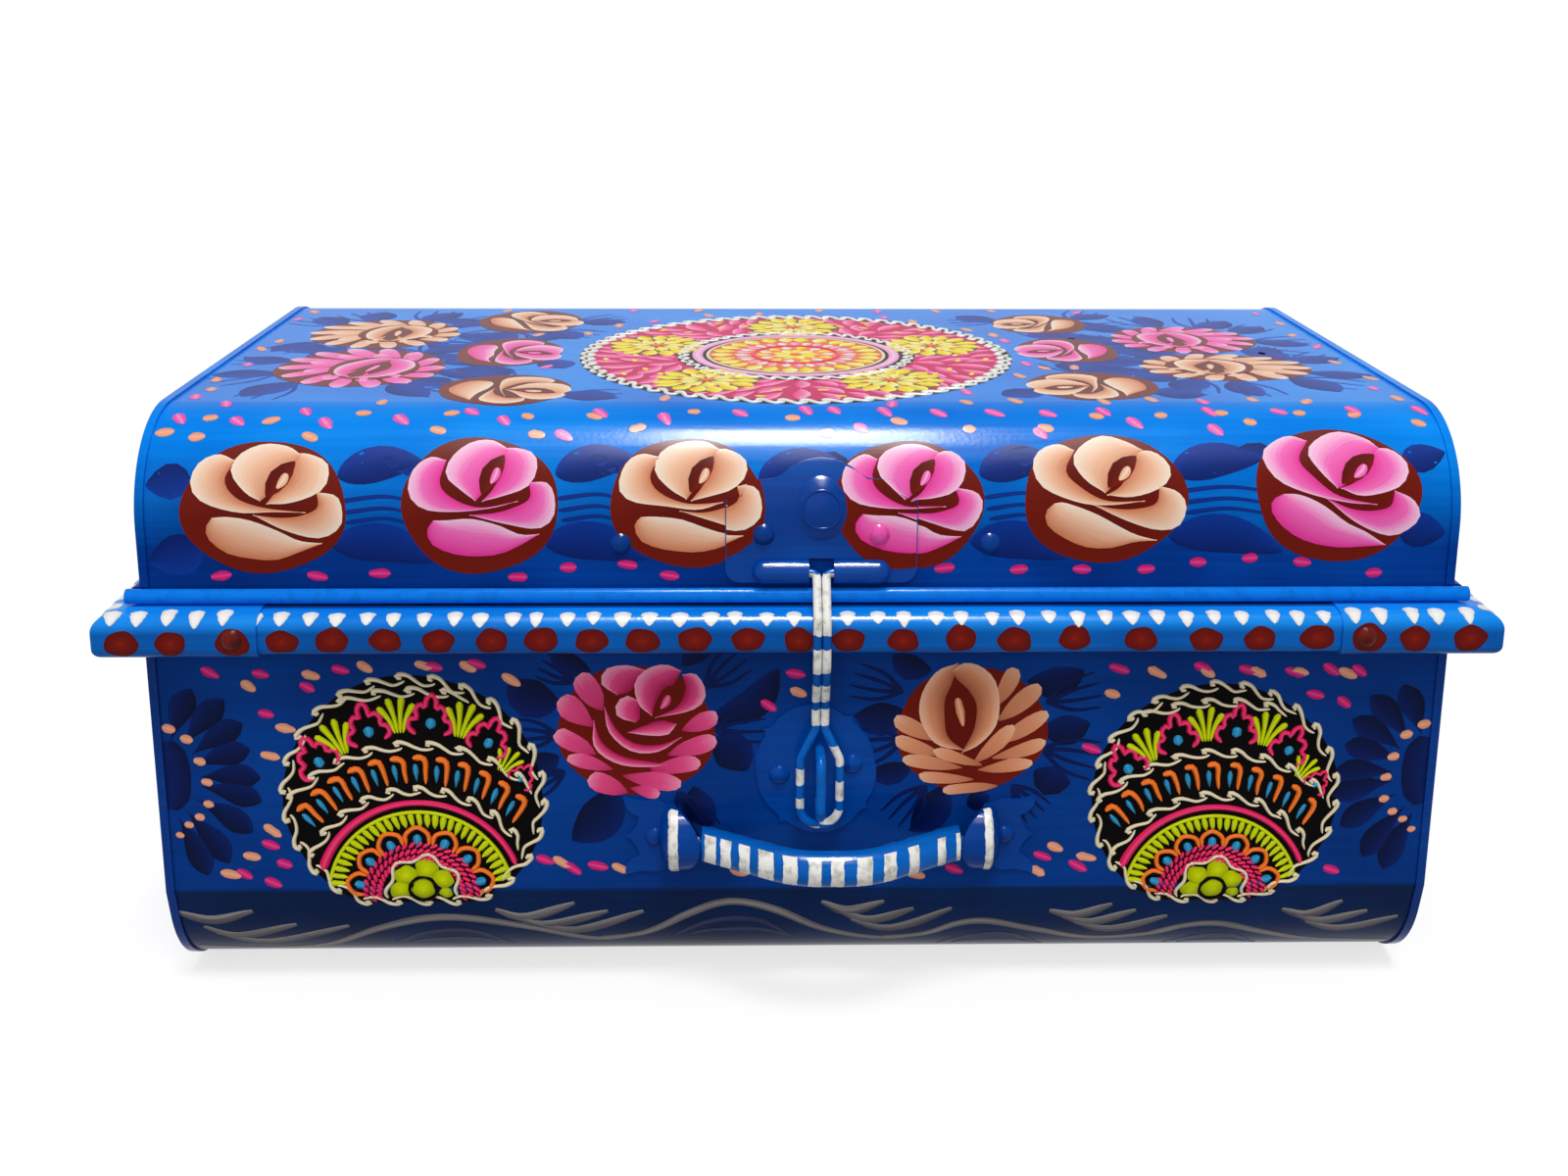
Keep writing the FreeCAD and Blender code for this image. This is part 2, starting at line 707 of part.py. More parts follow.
def handle_plate_rivets():
    """One rivet in each handle plate."""
    face = -half_depth - fitting_plate
    return [rivet(Vector(handle_x + offset, face, handle_axis_z), -y_axis, fitting_plate + sheet,
                  head_radius=handle_rivet_head_radius)
            for offset in (-handle_rivet_offset, handle_rivet_offset)]


def handle_route():
    """Corners and bends of the handle's centre line, stub end to stub end."""
    half = [(-handle_stub_end, 0.0), (-handle_knee, 0.0), (-handle_flat_half, handle_reach)]
    route = half + [(-x, reach) for x, reach in reversed(half)]
    points = [Vector(handle_x + x, handle_axis_y - reach, handle_axis_z) for x, reach in route]
    return points, [handle_end_bend, handle_bow_bend, handle_bow_bend, handle_end_bend]


def handle_wire():
    """The wire inside the grip, whose straight ends turn in the pockets."""
    points, bends = handle_route()
    return round_tube(points, bends, handle_wire_radius)


def handle_span(half):
    """Everything within half of the handle's middle."""
    return box(handle_x - half, handle_x + half, -far, far, 0, far)


def handle_grip():
    """A sheet tube round the wire, closed in at its ends."""
    points, bends = handle_route()
    outside = round_tube(points, bends, grip_radius).common(handle_span(handle_half_length))
    hollow = round_tube(points, bends, grip_radius - grip_wall)
    hollow = hollow.common(handle_span(handle_half_length - grip_end_wall))
    return outside.cut(hollow).cut(handle_wire())


def behind(x):
    """Places an (outward, z) section of a hinge on the back wall."""
    return lambda out, z: Vector(x, half_depth + out, z)


def knuckle(x_low, x_high):
    """A solid knuckle; its bore is cut later."""
    return Part.makeCylinder(knuckle_radius, x_high - x_low,
                             Vector(x_low, half_depth + hinge_axis_out, hinge_axis_z), x_axis)


def hinge_bore(centre_x):
    """The bore through all of a hinge's knuckles."""
    return Part.makeCylinder(hinge_pin_radius + hinge_pin_clearance, hinge_width + 2.0,
                             Vector(centre_x - hinge_width / 2 - 1.0, half_depth + hinge_axis_out,
                                    hinge_axis_z), x_axis)


def hinge_lid_leaf(centre_x):
    """The leaf on the lid: flat above, with a neck that steps over the bead to one knuckle."""
    half = hinge_width / 2
    under = hinge_axis_z + knuckle_radius - hinge_leaf
    path = [(0.0, lid_leaf_top), (0.0, 163.2), (5.0, under), (hinge_axis_out, under)]
    leaf = sheet_face(path, [2.0, 1.5], hinge_leaf, 1, behind(centre_x - half))
    leaf = leaf.extrude(Vector(hinge_width, 0, 0))
    for x_low, x_high in ((-half - 1.0, -knuckle_half), (knuckle_half, half + 1.0)):
        leaf = leaf.cut(box(centre_x + x_low, centre_x + x_high, 0, far, 0, lid_leaf_shoulder))
    ring = knuckle(centre_x - knuckle_half, centre_x + knuckle_half)
    return fuse_all([leaf, ring]).cut(hinge_bore(centre_x))


def hinge_body_leaf(centre_x):
    """The leaf on the rim: two outer knuckles, with the leaf running down the rim's face."""
    half = hinge_width / 2
    near = hinge_axis_out + knuckle_radius - hinge_leaf
    path = [(near, hinge_axis_z), (near, 155.2), (rim_projection, 149.2),
            (rim_projection, body_leaf_bottom)]
    leaf = sheet_face(path, [2.0, 3.0], hinge_leaf, 1, behind(centre_x - half))
    leaf = leaf.extrude(Vector(hinge_width, 0, 0))
    inner = knuckle_half + knuckle_gap
    leaf = leaf.cut(box(centre_x - inner, centre_x + inner, 0, far, body_leaf_shoulder, far))
    rings = [knuckle(centre_x - half, centre_x - inner), knuckle(centre_x + inner, centre_x + half)]
    return fuse_all([leaf] + rings).cut(hinge_bore(centre_x))


def hinge_pin(centre_x):
    """A pin with a flat head outside each end knuckle."""
    y = half_depth + hinge_axis_out
    half = hinge_width / 2
    length = hinge_width + 2 * pin_head_height
    start = centre_x - half - pin_head_height
    pieces = [Part.makeCylinder(hinge_pin_radius, length, Vector(start, y, hinge_axis_z), x_axis)]
    for x in (start, centre_x + half):
        pieces.append(Part.makeCylinder(pin_head_radius, pin_head_height,
                                        Vector(x, y, hinge_axis_z), x_axis))
    return fuse_all(pieces)


def hinge_rivets(out, height, grip):
    """Two small rivets in each hinge leaf."""
    rivets = []
    for hinge in (-1, 1):
        for side in (-1, 1):
            x = hinge * hinge_spacing / 2 + side * hinge_rivet_spacing / 2
            rivets.append(small_rivet(Vector(x, half_depth + out, height), y_axis, grip))
    return rivets


def build():
    """Every sub-part by node name, with rivet holes cut where the rivets pass."""
    cap_rivets = corner_cap_rivets()
    plate_rivets = hasp_plate_rivets()
    strap_rivets = lid_strap_rivets()
    staple_rivets = staple_plate_rivets()
    grip_rivets = handle_plate_rivets()
    lid_hinge_rivets = hinge_rivets(hinge_leaf, lid_leaf_rivet_z, hinge_leaf + sheet)
    rim_hinge_rivets = hinge_rivets(rim_projection + hinge_leaf, body_leaf_rivet_z, hinge_leaf + sheet)
    eye = staple()
    cap = corner_cap_front_left()
    rim_cutters = cap_rivets + rim_hinge_rivets
    front_rim = front_run(rim_face, -far, far)
    left_rim = left_run(rim_face, -far, far)
    nodes = {
        "body_wrap": cut_all(body_wrap(), staple_rivets + grip_rivets + [eye]),
        "body_end_left": body_end(-1),
        "body_end_right": body_end(1),
        "rim_front": cut_all(front_rim, rim_cutters),
        "rim_back": cut_all(turned_back(front_rim), rim_cutters),
        "rim_left": cut_all(left_rim, rim_cutters),
        "rim_right": cut_all(turned_back(left_rim), rim_cutters),
        "corner_cap_front_left": cut_all(cap, cap_rivets),
        "corner_cap_front_right": cut_all(mirrored(cap), cap_rivets),
        "corner_cap_back_left": cut_all(turned_back(mirrored(cap)), cap_rivets),
        "corner_cap_back_right": cut_all(turned_back(cap), cap_rivets),
        "corner_cap_rivets": Part.makeCompound(cap_rivets),
        "staple_plate": cut_all(staple_plate(), staple_rivets + [eye]),
        "staple": eye,
        "staple_plate_rivets": Part.makeCompound(staple_rivets),
        "handle_plate_left": cut_all(handle_plate(-1), grip_rivets),
        "handle_plate_right": cut_all(handle_plate(1), grip_rivets),
        "handle_plate_rivets": Part.makeCompound(grip_rivets),
        "handle_grip": handle_grip(),
        "handle_wire": handle_wire(),
        "lid_wrap": cut_all(lid_wrap(), plate_rivets + strap_rivets + lid_hinge_rivets),
        "lid_end_left": lid_end(-1),
        "lid_end_right": lid_end(1),
        "lid_edge_wires": Part.makeCompound(lid_edge_wires()),
        "lid_strap": cut_all(lid_strap(), plate_rivets + strap_rivets),
        "lid_strap_rivets": Part.makeCompound(strap_rivets),
        "hasp_plate": cut_all(hasp_plate(), plate_rivets),
        "hasp_plate_rivets": Part.makeCompound(plate_rivets),
        "hasp_loop": hasp_loop(),
        "hinge_lid_rivets": Part.makeCompound(lid_hinge_rivets),
        "hinge_body_rivets": Part.makeCompound(rim_hinge_rivets),
    }
    for name, centre_x in (("left", -hinge_spacing / 2), ("right", hinge_spacing / 2)):
        nodes["hinge_lid_leaf_" + name] = cut_all(hinge_lid_leaf(centre_x), lid_hinge_rivets)
        nodes["hinge_body_leaf_" + name] = cut_all(hinge_body_leaf(centre_x), rim_hinge_rivets)
        nodes["hinge_pin_" + name] = hinge_pin(centre_x)
    return nodes


os.makedirs("parts", exist_ok=True)
for node, shape in build().items():
    shape.exportStep(os.path.join("parts", node + ".step"))
    print(node, "solids", len(shape.Solids), "valid", shape.isValid(), "volume", round(shape.Volume, 1))
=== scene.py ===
"""Painted sheet-steel trunk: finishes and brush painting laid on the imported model.

The solids come from the frame. This file gives each one its enamel or steel, and lays the brush
painting on the sheets as thin strokes of paint that stand a little proud, as on the real trunk.
Sizes in the classes are millimetres, and Blender's objects are in metres. A place on a sheet is
x to the viewer's right and s up along the unrolled sheet.
"""

import json
import logging
import math
from collections.abc import Sequence
from dataclasses import dataclass
from enum import Enum
from functools import cache
from typing import Any, ClassVar

import bpy
import numpy as np
from mathutils import Matrix, Vector


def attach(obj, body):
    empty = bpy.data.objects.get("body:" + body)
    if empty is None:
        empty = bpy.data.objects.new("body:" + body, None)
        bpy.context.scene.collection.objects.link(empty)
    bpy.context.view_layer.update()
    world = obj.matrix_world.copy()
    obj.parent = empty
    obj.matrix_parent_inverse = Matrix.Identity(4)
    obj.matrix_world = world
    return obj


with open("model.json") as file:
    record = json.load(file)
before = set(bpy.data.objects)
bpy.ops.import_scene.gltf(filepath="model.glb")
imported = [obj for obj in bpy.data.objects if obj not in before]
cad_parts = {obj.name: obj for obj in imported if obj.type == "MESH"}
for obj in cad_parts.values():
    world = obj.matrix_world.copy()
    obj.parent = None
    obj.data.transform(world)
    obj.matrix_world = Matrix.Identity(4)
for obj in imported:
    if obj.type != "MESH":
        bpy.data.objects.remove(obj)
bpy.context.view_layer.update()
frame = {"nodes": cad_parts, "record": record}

log = logging.getLogger("trunk")
Array = np.ndarray
Pair = tuple[float, float]
Point = Pair | Array
Point3 = tuple[float, float, float]
Curve = Sequence[Point] | Array
Stops = Sequence[tuple[float, str]]
Tree = bpy.types.NodeTree
Socket = bpy.types.NodeSocket
MILLIMETRE = 0.001
ORIGIN = (0.0, 0.0)


# ---------------------------------------------------------------- colours and nodes


def linear(code: str) -> tuple[float, float, float, float]:
    """Turn an sRGB hex colour into Blender's linear colour.

    Args:
        code: Six hex digits after a hash.

    Returns:
        Red, green, blue and an alpha of one.
    """
    parts = [int(code[k : k + 2], 16) / 255 for k in (1, 3, 5)]
    red, green, blue = (
        p / 12.92 if p <= 0.04045 else ((p + 0.055) / 1.055) ** 2.4 for p in parts
    )
    return red, green, blue, 1.0


def add_node(
    tree: Tree,
    kind: str,
    inputs: dict[str | int, Any] | None = None,
    stops: Stops = (),
    **settings: Any,
) -> bpy.types.Node:
    """Add one node with its settings and inputs.

    Args:
        tree: The node tree.
        kind: The node's type, without "ShaderNode".
        inputs: For each input the socket that feeds it, or its fixed value.
        stops: A colour ramp's stops, as place and hex colour.
        **settings: The node's own properties.

    Returns:
        The new node.
    """
    node = tree.nodes.new("ShaderNode" + kind)
    for name, value in settings.items():
        setattr(node, name, value)
    for name, value in (inputs or {}).items():
        if isinstance(value, Socket):
            tree.links.new(value, node.inputs[name])
        else:
            node.inputs[name].default_value = value
    if stops:
        elements = node.color_ramp.elements
        while len(elements) < len(stops):
            elements.new(1.0)
        for element, (place, code) in zip(elements, stops):
            element.position = place
            element.color = linear(code)
    return node


def noise(
    tree: Tree,
    place: Socket,
    scale: float,
    detail: float = 2.0,
    roughness: float = 0.5,
    **settings: Any,
) -> Socket:
    """Add a noise texture.

    Args:
        tree: The node tree.
        place: Its coordinates.
        scale: How many waves a unit of them holds.
        detail: How many finer layers are added.
        roughness: How strong those are.
        **settings: The node's own properties.

    Returns:
        The noise, from 0 to 1.
    """
    inputs = {"Vector": place, "Scale": scale, "Detail": detail, "Roughness": roughness}
    return add_node(tree, "TexNoise", inputs, **settings).outputs["Fac"]


def stretch(tree: Tree, place: Socket, scale: Point3) -> Socket:
    """Scale coordinates, each way by its own amount."""
    return add_node(tree, "Mapping", {"Vector": place, "Scale": scale}).outputs[0]


def maths(tree: Tree, operation: str, *terms: Socket | float, **settings: Any) -> Socket:
    """Work out one sum.

    Args:
        tree: The node tree.
        operation: Blender's name for it.
        *terms: Up to three sockets or numbers.
        **settings: The node's own properties.

    Returns:
        The result.
    """
    inputs = dict(enumerate(terms))
    return add_node(tree, "Math", inputs, operation=operation, **settings).outputs[0]


def remap(
    tree: Tree, value: Socket, source: Pair = (0.0, 1.0), target: Pair = (0.0, 1.0)
) -> Socket:
    """Bring a value from one range to another.

    Args:
        tree: The node tree.
        value: The value.
        source: The range it is in.
        target: The range it comes to.

    Returns:
        The new value.
    """
    inputs = {"Value": value, "From Min": source[0], "From Max": source[1]}
    inputs |= {"To Min": target[0], "To Max": target[1]}
    return add_node(tree, "MapRange", inputs).outputs[0]


def ramp(tree: Tree, share: Socket, stops: Stops, blend: str = "LINEAR") -> Socket:
    """Look a share up in a row of colours.

    Args:
        tree: The node tree.
        share: The share, from 0 to 1.
        stops: The colours, as place and hex colour.
        blend: How one turns into the next.

    Returns:
        The colour.
    """
    node = add_node(tree, "ValToRGB", {"Fac": share}, stops)
    node.color_ramp.interpolation = blend
    return node.outputs["Color"]


def cover(tree: Tree, share: Socket, under: Socket, over: Socket) -> Socket:
    """Lay one colour over another.

    Args:
        tree: The node tree.
        share: How much of the upper one shows.
        under: The lower colour.
        over: The upper colour.

    Returns:
        The colour that shows.
    """
    return add_node(tree, "Mix", {0: share, 6: under, 7: over}, data_type="RGBA").outputs[2]


def bump(tree: Tree, height: Socket, strength: float, distance: float) -> Socket:
    """Turn a height into a surface direction.

    Args:
        tree: The node tree.
        height: The height, from 0 to 1.
        strength: How much of it shows.
        distance: What a height of 1 means, in metres.

    Returns:
        The direction.
    """
    inputs = {"Height": height, "Strength": strength, "Distance": distance}
    return add_node(tree, "Bump", inputs).outputs["Normal"]


def blank_material(name: str) -> tuple[bpy.types.Material, Tree]:
    """Make a node material with nothing in its tree.

    Args:
        name: The material's name.

    Returns:
        The material and its empty tree.
    """
    material = bpy.data.materials.new(name)
    material.use_nodes = True
    material.node_tree.nodes.clear()
    return material, material.node_tree


def add_object(name: str, data: bpy.types.ID) -> bpy.types.Object:
    """Put a mesh, a lamp or a camera into the scene.

    Args:
        name: The object's name.
        data: What it holds.

    Returns:
        The object.
    """
    thing = bpy.data.objects.new(name, data)
    bpy.context.scene.collection.objects.link(thing)
    return thing


def pick(piece: bpy.types.Object) -> None:
    """Select one piece alone, and make it the active one."""
    bpy.ops.object.select_all(action="DESELECT")
    piece.select_set(True)
    bpy.context.view_layer.objects.active = piece


# ---------------------------------------------------------------- finishes


class Finish:
    """A finish of the trunk: a name, and what the main shader's inputs hold."""

    prefix: ClassVar[str] = ""

    def build(self) -> bpy.types.Material:
        """Build the material."""
        material, tree = blank_material(self.prefix + self.name)
        shader = add_node(tree, "BsdfPrincipled", self.inputs(tree))
        add_node(tree, "OutputMaterial", {"Surface": shader.outputs["BSDF"]})
        return material


@dataclass(frozen=True)
class Bands:
    """Bands of another paint across a piece, with edges as ragged as a quick brush leaves them."""

    axis: int
    spans: tuple[Pair, ...]
    limits: tuple[tuple[int, float, float], ...] = ()
    pale: str = "#f6f5ef"
    deep: str = "#c9c6ba"
    rag: float = 1.0
    grain: float = 3.5
    margin: float = 5.0

    def lay(self, tree: Tree, place: Socket, under: Socket) -> Socket:
        """Lay the bands over a colour.

        Args:
            tree: The material's tree.
            place: Object coordinates.
            under: The colour below.

        Returns:
            The colour with its bands.
        """
        rough = noise(tree, place, 1000 / self.grain, 3.0)
        apart = add_node(tree, "SeparateXYZ", {"Vector": place}).outputs
        centred = maths(tree, "SUBTRACT", rough, 0.5)
        reach = self.rag * 4 * MILLIMETRE
        moved = maths(tree, "MULTIPLY_ADD", centred, reach, apart[self.axis])
        low, high = self.spans[0][0] - self.margin, self.spans[-1][1] + self.margin
        share = remap(tree, moved, (low * MILLIMETRE, high * MILLIMETRE))
        stops = [(0.0, "#000000")]
        for first, last in self.spans:
            stops.append(((first - low) / (high - low), "#ffffff"))
            stops.append(((last - low) / (high - low), "#000000"))
        mask = ramp(tree, share, stops, "CONSTANT")
        for axis, first, last in self.limits:
            for edge, test in ((first, "GREATER_THAN"), (last, "LESS_THAN")):
                side = maths(tree, test, apart[axis], edge * MILLIMETRE)
                mask = maths(tree, "MULTIPLY", mask, side)
        paint = ramp(tree, rough, ((0.3, self.deep), (0.52, self.pale)))
        return cover(tree, mask, under, paint)


@dataclass(frozen=True)
class SheetEnamel(Finish):
    """Gloss enamel brushed over sheet steel: long soft streaks, orange peel and a wet shine.

    Where upper is given, those three colours take over as fade rises from black to white with
    height. The coats use it to paint light and shade by height: painted light high on the lid and
    the rim, painted shade low on the wrap and across the middle of the hasp plate.
    """

    name: str = "brushed_gloss_enamel_blue"
    deep: str = "#02317a"
    body: str = "#033a8c"
    light: str = "#0548a2"
    roughness: float = 0.19
    streak_length: float = 70.0
    streak_width: float = 2.2
    patch: float = 60.0
    peel: float = 1.6
    upper: tuple[str, str, str] | None = None
    fade: tuple[tuple[float, str], ...] = ()
    gloss: float = 0.07
    bands: tuple[Bands, ...] = ()
    tall: float = 220.0
    tones: tuple[float, float, float] = (0.3, 0.5, 0.72)

    def inputs(self, tree: Tree) -> dict[str, Any]:
        """Give what the main shader's inputs hold."""
        place = add_node(tree, "TexCoord").outputs["Object"]
        long, thin = 1000 / self.streak_length, 1000 / self.streak_width
        streaks = noise(tree, stretch(tree, place, (long, thin, thin)), 1.0, 3.0, 0.6)
        patches = noise(tree, place, 1000 / self.patch)
        both = add_node(tree, "Mix", {"A": streaks, "B": patches, "Factor": 0.7}).outputs[0]
        paint = ramp(tree, both, tuple(zip(self.tones, (self.deep, self.body, self.light))))
        if self.upper:
            upper = ramp(tree, both, tuple(zip(self.tones, self.upper)))
            apart = add_node(tree, "SeparateXYZ", {"Vector": place})
            height = remap(tree, apart.outputs["Z"], (0.0, self.tall * MILLIMETRE))
            share = ramp(tree, height, tuple((z / self.tall, grey) for z, grey in self.fade))
            paint = cover(tree, share, paint, upper)
        for band in self.bands:
            paint = band.lay(tree, place, paint)
        rough = remap(tree, streaks, target=(self.roughness - 0.05, self.roughness + 0.06))
        ridges = maths(tree, "ADD", streaks, noise(tree, place, 1000 / self.peel, 1.0))
        return {
            "Base Color": paint,
            "Roughness": rough,
            "Normal": bump(tree, ridges, 0.35, 0.08 * MILLIMETRE),
            "IOR": 1.5,
            "Specular IOR Level": self.gloss,
        }


@dataclass(frozen=True)
class BrushPaint(Finish):
    """One pot of brush enamel, laid in single strokes that keep the bristles' marks.

    A stroke is palest where its shade is 0 and deepest where it is 1.
    """

    name: str
    pale: str
    middle: str
    deep: str
    roughness: float = 0.3
    bristle: float = 0.55
    drag: float = 14.0
    unevenness: float = 0.09
    shine: float = 0.06
    prefix: ClassVar[str] = "brush_enamel_"

    def inputs(self, tree: Tree) -> dict[str, Any]:
        """Give what the main shader's inputs hold."""
        brush = add_node(tree, "UVMap", uv_map="brush").outputs["UV"]
        marks = stretch(tree, brush, (1000 / self.drag, 1000 / self.bristle, 1.0))
        bristles = noise(tree, marks, 1.0, 2.0, 0.55, noise_dimensions="2D")
        shade = add_node(tree, "Attribute", attribute_name="shade").outputs["Fac"]
        swing = maths(tree, "SUBTRACT", bristles, 0.5)
        mixed = maths(tree, "MULTIPLY_ADD", swing, self.unevenness * 2, shade)
        colours = ((0.0, self.pale), (0.4, self.middle), (1.0, self.deep))
        return {
            "Base Color": ramp(tree, mixed, colours),
            "Normal": bump(tree, bristles, 0.15, 0.05 * MILLIMETRE),
            "Roughness": self.roughness,
            "IOR": 1.5,
            "Specular IOR Level": self.shine,
        }


@dataclass(frozen=True)
class DrawnSteel(Finish):
    """Drawn mild-steel wire: grey metal with fine lines along it and a dull, oiled shine."""

    name: str = "drawn_steel_wire"
    pale: str = "#b9b8b4"
    deep: str = "#77746e"
    lines: Point3 = (40.0, 1800.0, 1800.0)

    def inputs(self, tree: Tree) -> dict[str, Any]:
        """Give what the main shader's inputs hold."""
        place = add_node(tree, "TexCoord").outputs["Object"]
        lines = noise(tree, stretch(tree, place, self.lines), 1.0)
        return {
            "Base Color": ramp(tree, lines, ((0.35, self.deep), (0.65, self.pale))),
            "Normal": bump(tree, lines, 0.3, 0.04 * MILLIMETRE),
            "Roughness": 0.38,
            "Metallic": 1.0,
        }


class Pot(Enum):
    """The pots of brush enamel on the painter's bench."""

    LEAF = BrushPaint("dark_blue_leaf", "#0a389a", "#072f88", "#042068", 0.28)
    # Maroon's deep end is its brightest red, and the maroon grounds take it at their rims: a
    # painted reflection along their edges.
    MAROON = BrushPaint("maroon", "#5c120a", "#66150b", "#7c1c0d", shine=0.05)
    PEACH_PETAL = BrushPaint("peach_petal", "#ffead6", "#f8c4a2", "#d87f56", 0.32)
    PINK_PETAL = BrushPaint("pink_petal", "#ffd2ec", "#fc72c2", "#f0359c", 0.32)
    # Ruby and clay are the pink and peach laid deeper for the body's front: partly the flowers' own
    # colours, partly painted shade.
    RUBY_PETAL = BrushPaint("ruby_petal", "#ffa9c4", "#ee4f8b", "#b3124f", 0.32)
    CLAY_PETAL = BrushPaint("clay_petal", "#f8c4a2", "#e4966e", "#ac5a3c", 0.32)
    PEACH = BrushPaint("peach", "#f9bd9e", "#f0a17c", "#d98560", 0.32)
    HOT_PINK = BrushPaint("hot_pink", "#f257a4", "#dd2379", "#b81460", 0.32)
    ORCHID = BrushPaint("orchid_pink", "#ff9fd8", "#f25cb4", "#d93a98", 0.32)
    WHITE = BrushPaint("white", "#ffffff", "#f2f1ec", "#cfccc2")
    BLACK = BrushPaint("black", "#0c0808", "#080505", "#040303", shine=0.03)
    CREAM = BrushPaint("cream", "#fdf4da", "#e9dbb6", "#bda97c")
    LIME = BrushPaint("lime_yellow", "#e6f02a", "#cddc00", "#93a300", 0.28)
    YELLOW = BrushPaint("yellow", "#fff88c", "#ffee1e", "#f2c600", shine=0.03)
    PALE_YELLOW = BrushPaint("pale_yellow", "#fffdd0", "#fff684", "#f6d62a", shine=0.03)
    UMBER = BrushPaint("umber", "#a8741a", "#85560f", "#5c3708")
    ORANGE = BrushPaint("orange", "#ff9c4a", "#ff7420", "#cf4c08", 0.28)
    MAGENTA = BrushPaint("magenta", "#ff5a8c", "#ef1f62", "#b60f45", 0.28)
    SKY = BrushPaint("sky_blue", "#4cb2e2", "#2a93c9", "#176a99", 0.28)
    PALE_PINK = BrushPaint("pale_pink", "#ffd9f0", "#fbaede", "#ee86c8")
    FUCHSIA = BrushPaint("fuchsia", "#f63c8c", "#e2206e", "#c0155c", shine=0.03)
    TOP_LEAF = BrushPaint("mid_blue_leaf", "#0e48b4", "#0b3ea4", "#082e84", shine=0.03)
    MIDNIGHT = BrushPaint("midnight_blue", "#062064", "#04174e", "#030e34", 0.28)
    DIM_SILVER = BrushPaint("dim_silver", "#3c466c", "#2a3458", "#182040", 0.36, 0.7, 30.0, 0.6)
    ROSY = BrushPaint("rosy_pink", "#ffc0de", "#ff7ab6", "#f03a86", 0.32, shine=0.03)
    SILVER = BrushPaint("silver_grey", "#a39e9c", "#7b7779", "#444454", 0.34, 0.7, 30.0, 0.5)
    RIM_RED = BrushPaint("oxblood", "#a02a1a", "#7c180e", "#4c0c14", 0.28, 0.8, 10.0)
WHITE_DASH = ("#f6f5ef", "#bdb9ab")
# A brown band along the underside of the grip.
BROWN_UNDERSIDE_DASH = ("#6b5540", "#3a2c22")
OXBLOOD_DAB = ("#6e1d14", "#4a120e")
PINK_DAB = ("#f25cb4", "#d92a86")
VIVID_BLUE = ("#0150a6", "#015eba", "#0674d6")
GRIP_SPANS = tuple(
    (x - w, x + w)
    for x, w in zip(
        (-37.6, -32.4, -26.8, -20.2, -12.8, -4.4, 3.9, 11.8, 21.3, 30.3, 39, 49.2, 55.6),
        (1.0, 2.1, 2.0, 2.0, 2.5, 2.4, 2.3, 2.4, 2.5, 2.2, 1.8, 1.5, 0.9),
    )
)
SHANK_SPANS = ((109.6, 116.0), (119.1, 126.7), (132.3, 141.5), (146.5, 164.5))


